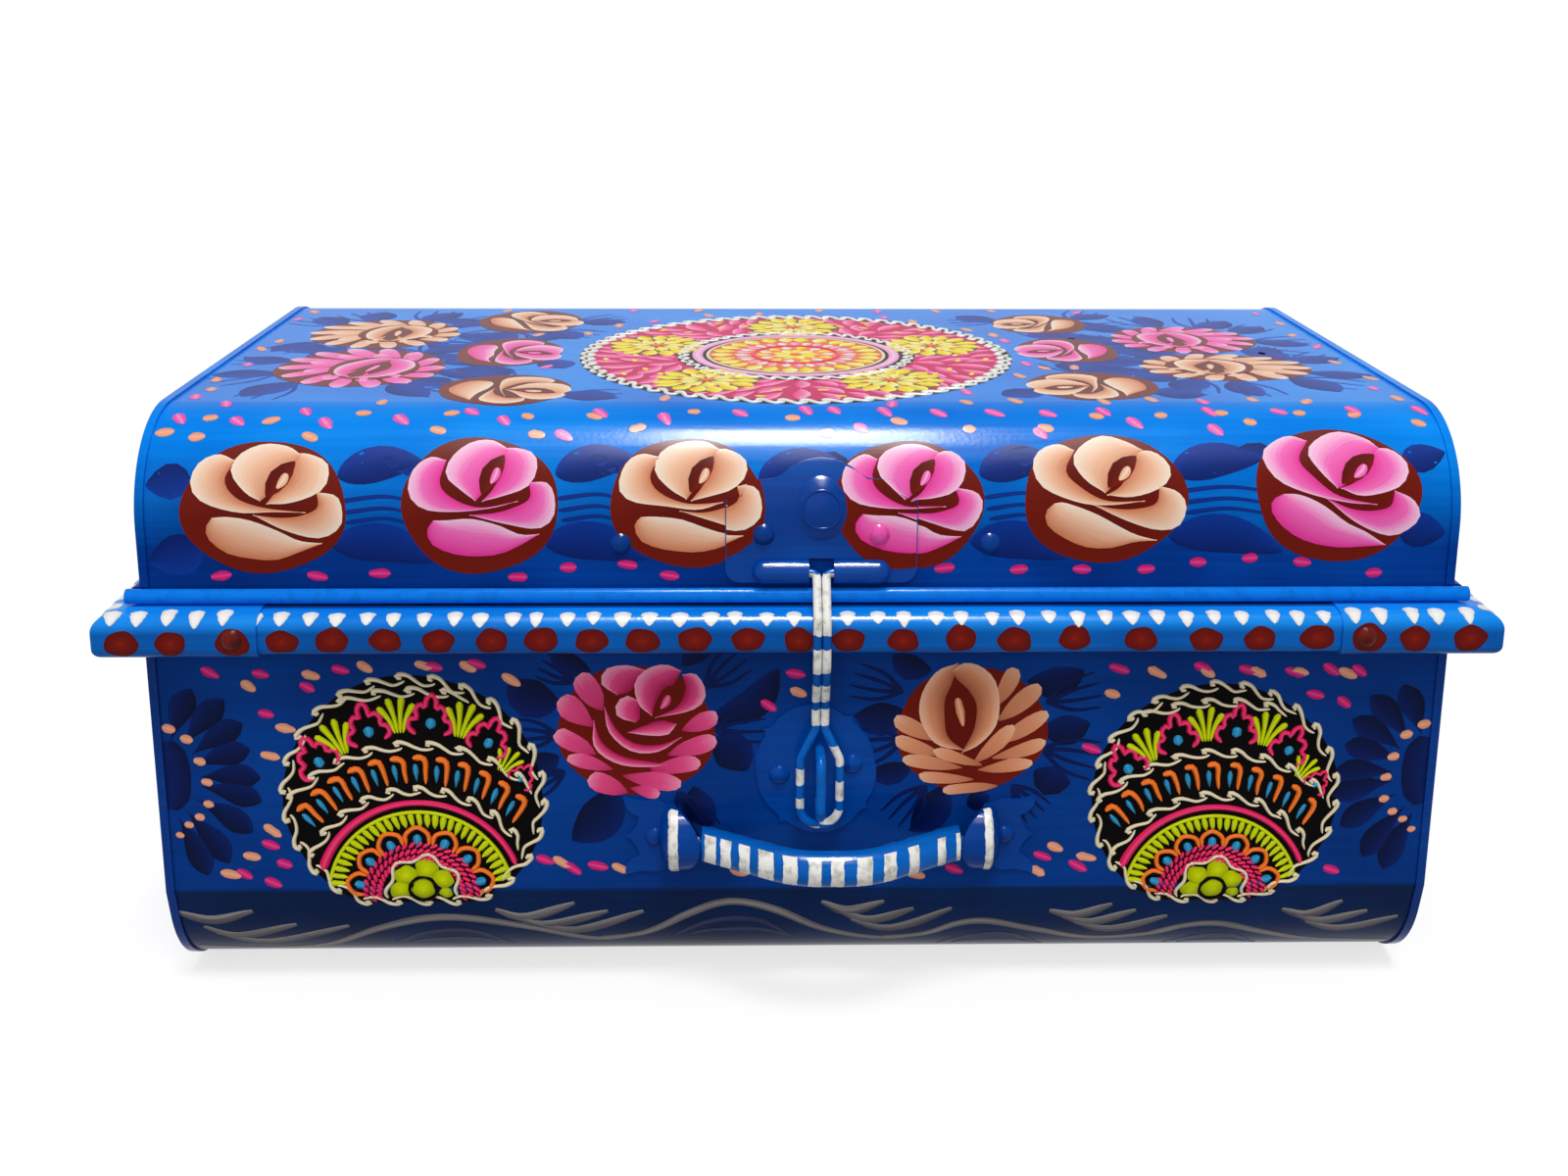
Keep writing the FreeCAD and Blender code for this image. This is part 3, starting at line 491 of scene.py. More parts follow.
class Coat(Enum):
    """The finishes of the solids."""

    SHEET = SheetEnamel()
    # Below the crease, under z 42, the wrap is painted a deeper navy: painted shade on the facet
    # and the low round, which face down.
    WRAP = SheetEnamel(
        "brushed_gloss_enamel_blue_wrap",
        upper=("#011b46", "#012558", "#012f6c"),
        fade=((42.0, "#ffffff"), (43.5, "#000000")),
        gloss=0.04,
    )
    # The rim, its caps and the staple take this coat. Over the top of the roll, above z 146, it
    # turns a brighter blue: a painted highlight.
    RIM = SheetEnamel(
        "brushed_gloss_enamel_blue_rim",
        *VIVID_BLUE,
        upper=("#0678e0", "#0e8cf2", "#209efc"),
        fade=((146.0, "#000000"), (150.0, "#ffffff")),
    )
    # The lid's blue turns lighter from z 172 to 210, up the round and over the top: painted light
    # from above.
    LID = SheetEnamel(
        "brushed_gloss_enamel_blue_lid",
        *("#002c7a", "#003a94", "#014eb4"),
        upper=("#0072de", "#0086f2", "#0c9aff"),
        fade=((172.0, "#000000"), (210.0, "#ffffff")),
        gloss=0.03,
        # A lighter blue band along the bottom bead and the foot of the front, z 150 to 158.8: a
        # painted highlight on the bead's rolled top.
        bands=(Bands(2, ((150.0, 158.8),), ((1, -140.0, -128.6),), "#0a7eec", "#0872dc", 0.1),),
    )
    STEEL = DrawnSteel()
    GRIP = SheetEnamel(
        "striped_gloss_enamel_grip",
        *VIVID_BLUE,
        bands=(
            Bands(0, GRIP_SPANS, ((2, 40.0, 69.6),), *WHITE_DASH, 0.3),
            # The brown band runs along the grip's underside.
            Bands(2, ((50.0, 59.2),), ((0, -34.0, 52.0),), *BROWN_UNDERSIDE_DASH, 1.2),
        ),
    )
    # The hasp plate is painted darker across its middle, z 168 to 203, and lighter above and below:
    # painted shade and painted light.
    HASP_PLATE = SheetEnamel(
        "gloss_enamel_hasp_plate",
        *("#003a90", "#0048a4", "#025cbc"),
        upper=("#002f80", "#003a92", "#0148a6"),
        fade=((168.0, "#000000"), (182.0, "#ffffff"), (192.0, "#ffffff"), (203.0, "#000000")),
        gloss=0.1,
    )
    POCKETS = SheetEnamel(
        "gloss_enamel_handle_plates",
        *("#003484", "#004098", "#0152b2"),
        bands=(
            Bands(
                0,
                ((-47.4, -43.9), (65.0, 68.2)),
                ((2, 50.0, 77.0), (1, -150.0, -131.0)),
                *WHITE_DASH,
                0.3,
            ),
        ),
    )
    HASP = SheetEnamel(
        "banded_gloss_enamel_hasp",
        *VIVID_BLUE,
        bands=tuple(
            Bands(2, spans, limits, *WHITE_DASH, 0.5)
            for spans, limits in (
                (SHANK_SPANS, ()),
                (((72.0, 77.5), (81.1, 88.3), (94.1, 101.7)), ((0, 6.6, 20.0),)),
                (((69.0, 71.2), (77.9, 81.8), (87.1, 93.1)), ((0, -5.0, 6.6),)),
            )
        ),
    )
    CAP_RIVETS = SheetEnamel(
        "oxblood_gloss_enamel_rivets",
        bands=(Bands(2, ((130.0, 160.0),), ((1, -150.0, 0.0),), *OXBLOOD_DAB),),
    )
    HASP_RIVETS = SheetEnamel(
        "gloss_enamel_hasp_rivets", bands=(Bands(0, ((18.0, 40.0),), (), *PINK_DAB),)
    )


@cache
def material_of(finish: Pot | Coat) -> bpy.types.Material:
    """Build a finish's material, once.

    Args:
        finish: A pot or a coat.

    Returns:
        The material.
    """
    return finish.value.build()


# ---------------------------------------------------------------- surfaces that carry paint


@dataclass(frozen=True)
class Facing:
    """Which way a wall looks: outward, along it to the viewer's right, and how far out it is."""

    outward: Point
    along: Point
    wall: float


class Side(Enum):
    """The trunk's four walls."""

    FRONT = Facing((0.0, -1.0), (1.0, 0.0), 127.0)
    BACK = Facing((0.0, 1.0), (-1.0, 0.0), 127.0)
    LEFT = Facing((-1.0, 0.0), (0.0, -1.0), 228.5)
    RIGHT = Facing((1.0, 0.0), (0.0, 1.0), 228.5)


@dataclass(frozen=True)
class Sheet:
    """A sheet, unrolled. A plain one is a flat wall."""

    side: Side

    def profile(self, s: Array) -> tuple[Array, Array, Array]:
        """Give how far inside the wall plane each place is, its height and its tilt."""
        return np.zeros_like(s), s, np.zeros_like(s)

    def place(self, flat: Array, lift: Array) -> Array:
        """Put unrolled places on the bent sheet.

        Args:
            flat: Places as x and s.
            lift: Height of the paint above the sheet.

        Returns:
            The places in metres.
        """
        facing = self.side.value
        inside, height, tilt = self.profile(flat[:, 1])
        out = facing.wall - inside + lift * np.cos(tilt)
        up = height + lift * np.sin(tilt)
        x = facing.outward[0] * out + facing.along[0] * flat[:, 0]
        y = facing.outward[1] * out + facing.along[1] * flat[:, 0]
        return np.column_stack([x, y, up]) * MILLIMETRE


@dataclass(frozen=True)
class LidSheet(Sheet):
    """The lid's sheet: up the front, round, over the top, and down the back."""

    low: float = 153.6
    top: float = 216.0
    bend: float = 36.0
    depth: float = 254.0

    def profile(self, s: Array) -> tuple[Array, Array, Array]:
        """Give the inset, height and tilt at each s."""
        rise = self.top - self.bend - self.low
        quarter = self.bend * math.pi / 2
        flat = self.depth - 2 * self.bend
        first = np.clip((s - rise) / self.bend, 0, math.pi / 2)
        second = np.clip((s - rise - quarter - flat) / self.bend, 0, math.pi / 2)
        inside = (
            self.bend * (1 - np.cos(first))
            + np.clip(s - rise - quarter, 0, flat)
            + self.bend * np.sin(second)
        )
        height = (
            self.low
            + np.minimum(s, rise)
            + self.bend * np.sin(first)
            - self.bend * (1 - np.cos(second))
            - np.maximum(s - rise - 2 * quarter - flat, 0)
        )
        return inside, height, first + second


@dataclass(frozen=True)
class BodySheet(Sheet):
    """The body's sheet: s is up from the crease, and below it the sheet leans in and rounds."""

    crease: float = 43.0
    lean: float = math.radians(14)
    facet: float = 11.0
    bend: float = 42.64

    def profile(self, s: Array) -> tuple[Array, Array, Array]:
        """Give the inset, height and tilt at each s."""
        down = np.maximum(-s, 0)
        straight = np.minimum(down, self.facet)
        turn = np.clip((down - self.facet) / self.bend, 0, math.pi / 2 - self.lean)
        angle = self.lean + turn
        inside = straight * math.sin(self.lean) + self.bend * (
            math.cos(self.lean) - np.cos(angle)
        )
        height = (
            self.crease
            + np.maximum(s, 0)
            - straight * math.cos(self.lean)
            - self.bend * (np.sin(angle) - math.sin(self.lean))
        )
        return inside, height, np.where(down > 0, -angle, 0.0)


@dataclass(frozen=True)
class RimStrip(Sheet):
    """The rim's outside: s is up from the middle of its face, then over the roll to the ledge."""

    middle: float = 144.3
    projection: float = 12.6
    face_top: float = 2.52
    face_bottom: float = 3.2
    top_round: float = 4.6
    bottom_round: float = 3.2
    ledge_turn: float = math.radians(84.56)

    def profile(self, s: Array) -> tuple[Array, Array, Array]:
        """Give the inset, height and tilt at each s."""
        up = np.clip((s - self.face_top) / self.top_round, 0, self.ledge_turn)
        down = np.clip((-s - self.face_bottom) / self.bottom_round, 0, math.pi / 2)
        ledge = np.maximum(s - self.face_top - self.top_round * self.ledge_turn, 0)
        under = np.maximum(-s - self.face_bottom - self.bottom_round * math.pi / 2, 0)
        inside = (
            self.top_round * (1 - np.cos(up))
            + ledge * math.sin(self.ledge_turn)
            + self.bottom_round * (1 - np.cos(down))
            + under
            - self.projection
        )
        height = (
            self.middle
            + np.clip(s, -self.face_bottom, self.face_top)
            + self.top_round * np.sin(up)
            + ledge * math.cos(self.ledge_turn)
            - self.bottom_round * np.sin(down)
        )
        return inside, height, up - down


# ---------------------------------------------------------------- strokes


@dataclass(frozen=True)
class StrokeNet:
    """The net of one brush stroke, modelled once: rows along it, columns across, and a skirt."""

    row: Array
    column: Array
    skirt: Array
    faces: Array
    top: Array


@cache
def stroke_net(rows: int, columns: int) -> StrokeNet:
    """Model the net of a stroke, once for each size: a grid whose border is drawn into a skirt.

    Args:
        rows: Cells along the stroke.
        columns: Cells across it.

    Returns:
        The net's numbers.
    """
    bpy.ops.object.select_all(action="DESELECT")
    bpy.ops.mesh.primitive_grid_add(x_subdivisions=rows, y_subdivisions=columns, size=2)
    piece = bpy.context.object
    bpy.ops.object.mode_set(mode="EDIT")
    bpy.ops.mesh.select_mode(type="EDGE")
    bpy.ops.mesh.select_all(action="DESELECT")
    bpy.ops.mesh.select_non_manifold()
    bpy.ops.mesh.extrude_region_move(TRANSFORM_OT_translate={"value": (0, 0, -1)})
    bpy.ops.mesh.select_all(action="SELECT")
    bpy.ops.mesh.normals_make_consistent(inside=False)
    bpy.ops.object.mode_set(mode="OBJECT")
    mesh = piece.data
    places = np.array([v.co for v in mesh.vertices])
    faces = np.array([list(p.vertices) for p in mesh.polygons])
    skirt = places[:, 2] < -0.5
    top = ~skirt[faces].any(axis=1)
    if mesh.polygons[int(np.flatnonzero(top)[0])].normal.z < 0:
        faces = faces[:, ::-1]
    row = np.unique(places[:, 0].round(4), return_inverse=True)[1].ravel()
    column = np.unique(places[:, 1].round(4), return_inverse=True)[1].ravel()
    bpy.data.objects.remove(piece)
    bpy.data.meshes.remove(mesh)
    return StrokeNet(row, column, skirt, faces, top)


def smooth_line(points: Curve, places: Array) -> Array:
    """Draw a smooth line through points.

    Args:
        points: What it passes through.
        places: Where to read it, from 0 to 1 of its length.

    Returns:
        One point for each place.
    """
    knots = np.asarray(points, float)
    guide = np.vstack([2 * knots[0] - knots[1], knots, 2 * knots[-1] - knots[-2]])
    t = np.linspace(0, 1, 9)[:-1, None]
    spans = [
        0.5
        * (
            2 * b
            + (c - a) * t
            + (2 * a - 5 * b + 4 * c - d) * t**2
            + (3 * b - a - 3 * c + d) * t**3
        )
        for a, b, c, d in zip(guide, guide[1:], guide[2:], guide[3:])
    ]
    line = np.vstack([*spans, knots[-1:]])
    run = distances(line)
    return np.column_stack([np.interp(places * run[-1], run, line[:, k]) for k in (0, 1)])


def steps(points: Curve) -> Array:
    """Give the lengths of the straight runs from point to point."""
    return np.linalg.norm(np.diff(np.asarray(points, float), axis=0), axis=1)


def distances(points: Curve) -> Array:
    """Give how far along its line each point is."""
    return np.concatenate([[0], np.cumsum(steps(points))])


def line_length(points: Curve) -> float:
    """Give the length of the straight runs through points."""
    return float(steps(points).sum())


def sideways(line: Array) -> Array:
    """Give the way to the left of a line at each of its points, one long."""
    ahead = np.gradient(line, axis=0)
    ahead /= np.maximum(np.linalg.norm(ahead, axis=1, keepdims=True), 1e-9)
    return np.column_stack([-ahead[:, 1], ahead[:, 0]])


def left_of(along: Array) -> Array:
    """Give the way to the left of one direction, one long."""
    return np.array([-along[1], along[0]]) / np.linalg.norm(along)


def cells_for(length: float, cell: float, least: int, most: int) -> int:
    """Give how many net cells of about one size a length takes."""
    return int(np.clip(round(length / cell), least, most))


def round_spacing(count: int) -> Array:
    """Give count + 1 places from 0 to 1 that crowd at the ends, so that an end can be round."""
    return 0.5 - 0.5 * np.cos(np.linspace(0, math.pi, count + 1))


@dataclass(frozen=True)
class Placing:
    """Moves a design drawn round the origin to its place on the sheet."""

    centre: Point
    size: Point = (1.0, 1.0)
    turn: float = 0.0
    mirror: bool = False

    def put(self, points: Curve) -> Array:
        """Place points.

        Args:
            points: Points of the design.

        Returns:
            The same points on the sheet.
        """
        knots = np.array(points, float)
        if self.mirror:
            knots[:, 0] = -knots[:, 0]
        angle = math.radians(self.turn)
        turned = np.column_stack(
            [
                knots[:, 0] * math.cos(angle) - knots[:, 1] * math.sin(angle),
                knots[:, 0] * math.sin(angle) + knots[:, 1] * math.cos(angle),
            ]
        )
        return turned * self.size + self.centre

    def spot(self, point: Point) -> Array:
        """Place one point."""
        return self.put([point])[0]


def polar(centre: Point, radius: float, degrees: float) -> Pair:
    """Give the point at a radius and angle from a centre."""
    angle = math.radians(degrees)
    return centre[0] + radius * math.cos(angle), centre[1] + radius * math.sin(angle)


@dataclass
class Painting:
    """Brush strokes on one sheet, gathered into one piece with a slot for each pot.

    The piece rides on its body. The seed is that of the hand's small errors, and the base is how
    far above the sheet the painted surface lies.
    """

    name: str
    sheet: Sheet
    body: str
    seed: int
    base: float = 0.0
    sunk: ClassVar[float] = -0.03

    def __post_init__(self) -> None:
        """Start with no strokes."""
        self.random = np.random.default_rng(self.seed)
        self.strokes: list[tuple[Array, ...]] = []
        self.pots: list[Pot] = []
        self.count = 0

    def wander(self, points: Curve, amount: float) -> Array:
        """Let the hand wander a little from each point.

        Args:
            points: The points meant.
            amount: How far, about, in millimetres.

        Returns:
            The points painted.
        """
        off = self.random.normal(0, amount, (len(points), 2)).clip(-2 * amount, 2 * amount)
        return np.asarray(points, float) + off

    def lay(
        self, net: StrokeNet, flat: Array, height: Array, shade: Array, grain: Array, pot: Pot
    ) -> None:
        """Lay one stroke on the sheet.

        Args:
            net: Its net.
            flat: The net's places on the unrolled sheet.
            height: The paint's height at each place.
            shade: From pale at 0 to deep at 1.
            grain: Places along and across the stroke, for the bristles.
            pot: Its paint.
        """
        lift = np.where(net.skirt, self.sunk, height) + self.base
        corners = flat[net.faces[net.top]]
        one = corners[:, 0] - corners[:, 2]
        two = corners[:, 1] - corners[:, 3]
        area = float((one[:, 0] * two[:, 1] - one[:, 1] * two[:, 0]).sum())
        faces = net.faces if area > 0 else net.faces[:, ::-1]
        if pot not in self.pots:
            self.pots.append(pot)
        self.strokes.append(
            (
                self.sheet.place(flat, lift),
                faces + self.count,
                shade,
                grain * MILLIMETRE + self.random.uniform(0, 1, 2),
                np.full(len(faces), self.pots.index(pot)),
            )
        )
        self.count += len(flat)

    def between(
        self,
        left: Array,
        right: Array,
        pot: Pot,
        lift: float,
        crown: float,
        columns: int,
        along: bool = False,
        crest: bool = False,
    ) -> None:
        """Fill between two edges with paint.

        Args:
            left: The edge with shade 0, one point a row.
            right: The edge with shade 1.
            pot: The paint.
            lift: Height of its edges.
            crown: How much its middle stands above its edges.
            columns: Cells across.
            along: Shade runs along the stroke instead of across it.
            crest: Shade is pale along the middle and deeper at both edges.
        """
        net = stroke_net(len(left) - 1, columns)
        across = net.column / columns
        flat = left[net.row] + (right - left)[net.row] * across[:, None]
        run = distances((left + right) / 2)
        wide = np.linalg.norm(right - left, axis=1)
        grain = np.column_stack([run[net.row], (across - 0.5) * wide[net.row]])
        height = lift + crown * np.sqrt(np.clip(4 * across * (1 - across), 0.0, 1.0))
        shade = net.row / (len(left) - 1) if along else across
        if crest:
            shade = 0.1 + 0.6 * np.abs(2 * across - 1)
        self.lay(net, flat, height, shade, grain, pot)

    def petal(
        self,
        outer: Curve,
        inner: Curve,
        pot: Pot,
        lift: float = 0.12,
        along: bool = False,
        cell: float = 2.2,
    ) -> None:
        """Lay a petal between its rim and its inner edge, pale at the rim.

        Args:
            outer: The rim.
            inner: The inner edge.
            pot: The paint.
            lift: Its height.
            along: Shade runs along the petal, from its first end.
            cell: Size of a net cell.
        """
        blunt = 0.4
        rows = cells_for(line_length(outer), cell, 5, 26)
        places = round_spacing(rows)
        left, right = smooth_line(outer, places), smooth_line(inner, places)
        middle, gap = (left + right) / 2, right - left
        aside = sideways(middle)
        if (gap * aside).sum() < 0:
            aside = -aside
        wide = np.linalg.norm(gap, axis=1)
        gap = np.where(wide[:, None] < blunt, aside * blunt, gap)
        columns = cells_for(wide.max(), cell, 2, 7)
        self.between(middle - gap / 2, middle + gap / 2, pot, lift, 0.03, columns, along)

    def swath(
        self,
        line: Curve,
        widths: Array,
        rows: int,
        pot: Pot,
        lift: float,
        crown: float,
        columns: int,
        even: bool = False,
        crest: bool = False,
    ) -> None:
        """Lay a stroke of varying width along a line.

        Args:
            line: Its middle.
            widths: Its width at each row.
            rows: Cells along it.
            pot: The paint.
            lift: Height of its edges.
            crown: How much its middle stands above them.
            columns: Cells across.
            even: Rows are evenly spaced.
            crest: It is pale along its middle.
        """
        places = np.linspace(0, 1, rows + 1) if even else round_spacing(rows)
        middle = smooth_line(line, places)
        aside = sideways(middle) * widths[:, None] / 2
        self.between(middle + aside, middle - aside, pot, lift, crown, columns, crest=crest)

    def leaf(
        self,
        start: Point,
        end: Point,
        width: float,
        pot: Pot = Pot.LEAF,
        bend: float = 0.0,
        lift: float = 0.04,
        belly: float = 0.8,
    ) -> None:
        """Lay a pointed leaf in one pressed stroke.

        Args:
            start: Its stem end.
            end: Its tip.
            width: Its greatest width.
            pot: The paint.
            bend: How far its middle bows to the left.
            lift: Its height.
            belly: Under 1 brings the widest place towards the stem.
        """
        along = np.subtract(end, start)
        size = float(np.linalg.norm(along))
        middle = np.add(start, along / 2) + left_of(along) * bend
        rows = cells_for(size, 2.4, 6, 22)
        widths = np.maximum(width * np.sin(math.pi * round_spacing(rows) ** belly) ** 0.75, 0.3)
        columns = cells_for(width, 3.5, 2, 5)
        self.swath([start, middle, end], widths, rows, pot, lift, 0.02, columns)

    def dab(
        self,
        centre: Point,
        length: float,
        width: float,
        degrees: float,
        pot: Pot,
        lift: float = 0.1,
        drop: float = 0.0,
        crown: float = 0.06,
        rows: int = 6,
        columns: int = 2,
    ) -> None:
        """Touch the brush down once.

        Args:
            centre: The dab's middle.
            length: Its length.
            width: Its width.
            degrees: The way it points.
            pot: The paint.
            lift: Its height.
            drop: From 0, even, to near 1, a teardrop that thins to its far end.
            crown: How much its middle stands up.
            rows: Net cells along it.
            columns: Net cells across it.
        """
        start = polar(centre, -length / 2, degrees)
        end = polar(centre, length / 2, degrees)
        places = round_spacing(rows)
        swell = np.sqrt(np.clip(1 - np.abs(2 * places - 1) ** 2.7, 0.04, 1))
        swell *= 1 - drop * places**1.3
        swell *= self.random.uniform(0.88, 1.1, rows + 1)
        self.swath([start, end], width * swell, rows, pot, lift, crown, columns, crest=True)

    def scatter(
        self, spots: Curve, pot: Pot, lengths: Pair, width: float, degrees: Pair, drop: float = 0.0
    ) -> None:
        """Touch the brush down on many spots, each time a little differently.

        Args:
            spots: Where.
            pot: The paint.
            lengths: The dabs' least and greatest length.
            width: Their width.
            degrees: The ways they point, from least to greatest.
            drop: How much they thin to their far ends.
        """
        for spot in spots:
            length = self.random.uniform(*lengths)
            self.dab(spot, length, width, self.random.uniform(*degrees), pot, drop=drop)

    def cord(
        self,
        line: Curve,
        width: float,
        pot: Pot,
        height: float = 0.5,
        lift: float = 0.05,
        taper: tuple[float, float, float] = (1.0, 1.0, 1.0),
        ring: bool = False,
        cell: float = 1.3,
    ) -> None:
        """Trail a raised cord of thick paint.

        Args:
            line: Its middle.
            width: Its width.
            pot: The paint.
            height: How high its middle stands.
            lift: Height of its edges.
            taper: Share of the width at its start, middle and end.
            ring: It closes on itself, so its ends aren't rounded.
            cell: Length of a net cell.
        """
        size = line_length(line)
        rows = cells_for(size, cell, 4, 120)
        places = np.linspace(0, 1, rows + 1)
        widths = width * np.interp(places, (0, 0.5, 1), taper)
        if not ring:
            near = np.minimum(places, 1 - places) * size / (width / 2)
            widths = widths * np.sqrt(1 - (1 - np.clip(near, 0.12, 1)) ** 2)
        self.swath(line, widths, rows, pot, lift, height, 4, even=True, crest=True)

    def hair(
        self, line: Curve, width: float, pot: Pot, ends: Pair = (1.0, 0.5), cell: float = 2.4
    ) -> None:
        """Draw a thin flat hair stroke that thins to its tip.

        Args:
            line: Its middle.
            width: Its width.
            pot: The paint.
            ends: Share of the width at its start and its tip.
            cell: Length of a net cell.
        """
        taper = (ends[0], ends[0] - 0.2, ends[1])
        self.cord(line, width, pot, 0.02, 0.04, taper, cell=cell)

    def disc(
        self,
        centre: Point,
        radii: Point,
        pot: Pot,
        lift: float = 0.06,
        wobble: float = 0.02,
        cells: int = 10,
        crown: float = 0.0,
        floor: float | None = None,
    ) -> None:
        """Fill a round patch of paint.

        Args:
            centre: Its middle.
            radii: Half its width and height.
            pot: The paint.
            lift: Its height.
            wobble: How uneven its edge is.
            cells: Net cells across.
            crown: How much its middle stands up.
            floor: Nothing is painted below this s.
        """
        net = stroke_net(cells, cells)
        a, b = net.row / cells * 2 - 1, net.column / cells * 2 - 1
        unit = np.column_stack([a * np.sqrt(1 - b * b / 2), b * np.sqrt(1 - a * a / 2)])
        angle = np.arctan2(unit[:, 1], unit[:, 0])
        edge = np.ones_like(angle)
        for waves in (2, 3, 5):
            edge += wobble * np.sin(waves * angle + self.random.uniform(0, 2 * math.pi))
        flat = unit * edge[:, None] * radii + centre
        if floor is not None:
            flat[:, 1] = np.maximum(flat[:, 1], floor)
        away = np.clip(np.linalg.norm(unit, axis=1), 0, 1)
        height = lift + crown * np.sqrt(1 - away**2)
        self.lay(net, flat, height, away * 0.6 + 0.2, flat - centre, pot)

    def rope(
        self,
        guide: Curve,
        pitch: float,
        swing: float,
        width: float,
        pot: Pot,
        height: float = 0.55,
    ) -> None:
        """Trail a chain of comma strokes along a guide, each hooked over the last.

        Args:
            guide: The line that it follows.
            pitch: Distance from comma to comma.
            swing: How far a comma crosses the guide each way.
            width: Width of a comma.
            pot: The paint.
            height: How high it stands.
        """
        reads = 20
        comma = np.array(
            [
                (3, 0.2), (0, 0.6), (2, 1.1), (7, 0.75),
                (12, -0.3), (17, -0.95), (22, -0.75), (25, -0.3),
            ]
        )  # fmt: skip
        count = max(2, round(line_length(guide) / pitch))
        line = smooth_line(guide, np.linspace(0, 1, count * reads + 1))
        aside = sideways(line)
        for k in range(count):
            hooked = comma[:6] if k == count - 1 else comma
            at = k * reads + hooked[:, 0].astype(int)
            points = line[at] + aside[at] * hooked[:, 1:] * swing
            drawn = self.wander(points, 0.12)
            self.cord(drawn, width, pot, height, taper=(1.5, 1.0, 0.7), cell=1.1)

    def make(self) -> bpy.types.Object:
        """Turn the strokes into one piece.

        Returns:
            The piece, riding on its body.
        """
        points, faces, shades, grain, slots = (np.concatenate(p) for p in zip(*self.strokes))
        mesh = bpy.data.meshes.new(self.name)
        mesh.vertices.add(len(points))
        mesh.vertices.foreach_set("co", points.ravel())
        mesh.loops.add(faces.size)
        mesh.loops.foreach_set("vertex_index", faces.ravel())
        mesh.polygons.add(len(faces))
        mesh.polygons.foreach_set("loop_start", np.arange(0, faces.size, 4))
        mesh.update(calc_edges=True)
        for pot in self.pots:
            mesh.materials.append(material_of(pot))
        mesh.polygons.foreach_set("material_index", slots)
        mesh.attributes.new("shade", "FLOAT", "POINT").data.foreach_set("value", shades)
        brush = mesh.uv_layers.new(name="brush")
        brush.data.foreach_set("uv", grain[faces.ravel()].ravel())
        mesh.validate()
        piece = add_object(self.name, mesh)
        pick(piece)
        bpy.ops.object.shade_smooth_by_angle(angle=math.radians(50))
        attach(piece, self.body)
        log.info("%s: %d strokes, %d faces", self.name, len(self.strokes), len(faces))
        return piece


def trim(piece: bpy.types.Object, point: Point3, outward: Point3) -> None:
    """Cut away what lies beyond a plane.

    Args:
        piece: The piece.
        point: A point on the plane, in millimetres.
        outward: The side that goes.
    """
    pick(piece)
    bpy.ops.object.mode_set(mode="EDIT")
    bpy.ops.mesh.select_all(action="SELECT")
    place = tuple(n * MILLIMETRE for n in point)
    bpy.ops.mesh.bisect(plane_co=place, plane_no=outward, clear_outer=True)
    bpy.ops.object.mode_set(mode="OBJECT")


# ---------------------------------------------------------------- flowers


@dataclass(frozen=True)
class PetalShape:
    """One petal of a design: its pale rim and its deep inner edge."""

    rim: Curve
    inner: Curve


CUP_LEFT = PetalShape(
    ((-1, 1), (-8, 4), (-13.2, 9.5), (-11.8, 16.5), (-5, 21.4), (3, 21.8), (8.6, 19.4)),
    ((-1, 1), (2.4, 5), (5.4, 9.5), (7.4, 14.5), (8.6, 19.4)),
)
CUP_RIGHT = PetalShape(
    ((6.6, 18.6), (12.5, 20.2), (18.5, 16.8), (19.8, 10.8), (16, 6), (8, 2.5), (0.4, 0.8)),
    ((6.6, 18.6), (7.4, 14.5), (6.4, 9.5), (3.6, 4.6), (0.4, 0.8)),
)
WING_LEFT = PetalShape(
    (
        (-13.4, 14.2), (-19.5, 15.4), (-25, 11), (-26.4, 3.4),
        (-21, -2), (-9, -3.2), (3, -2), (13.5, 0.6),
    ),
    ((-13.4, 14.2), (-15, 7), (-10.2, 1.8), (0, -0.9), (13.5, 0.6)),
)  # fmt: skip
WING_RIGHT = PetalShape(
    ((17.2, 7), (23.5, 7), (27, 2.4), (26.4, -4), (20.5, -8), (9, -6.6), (-3.5, -3.6)),
    ((17.2, 7), (17.8, 1.8), (12, -2), (5, -3.4), (-3.5, -3.6)),
)
FOOT = PetalShape(
    ((-17.2, -6.6), (-12, -5.6), (-3, -6.2), (6, -8.2), (13, -10), (20.8, -10.4)),
    (
        (-17.2, -6.6), (-19.4, -9.6), (-17.4, -14.2), (-11, -17.4),
        (-3, -18.6), (6, -17.6), (14, -14.2), (20.8, -10.4),
    ),
)  # fmt: skip


@dataclass(frozen=True)
class Flower:
    """A flower head of a given size, painted petal over petal on a maroon ground."""

    centre: Point
    width: float
    height: float
    pot: Pot
    turn: float = 0.0
    mirror: bool = False

    def lay_petals(
        self, painting: Painting, place: Placing, lift: float, step: float, errors: Pair
    ) -> None:
        """Lay the petals one over another.

        Args:
            painting: Where they go.
            place: What brings the design to its place.
            lift: Height of the first.
            step: How much higher each next one is.
            errors: How far the hand wanders along the rims and along the inner edges.
        """
        for layer, petal in enumerate(self.petals):
            rim = painting.wander(petal.rim, errors[0])
            inner = painting.wander(petal.inner, errors[1])
            inner[0], inner[-1] = rim[0], rim[-1]
            painting.petal(place.put(rim), place.put(inner), self.pot, lift + step * layer)


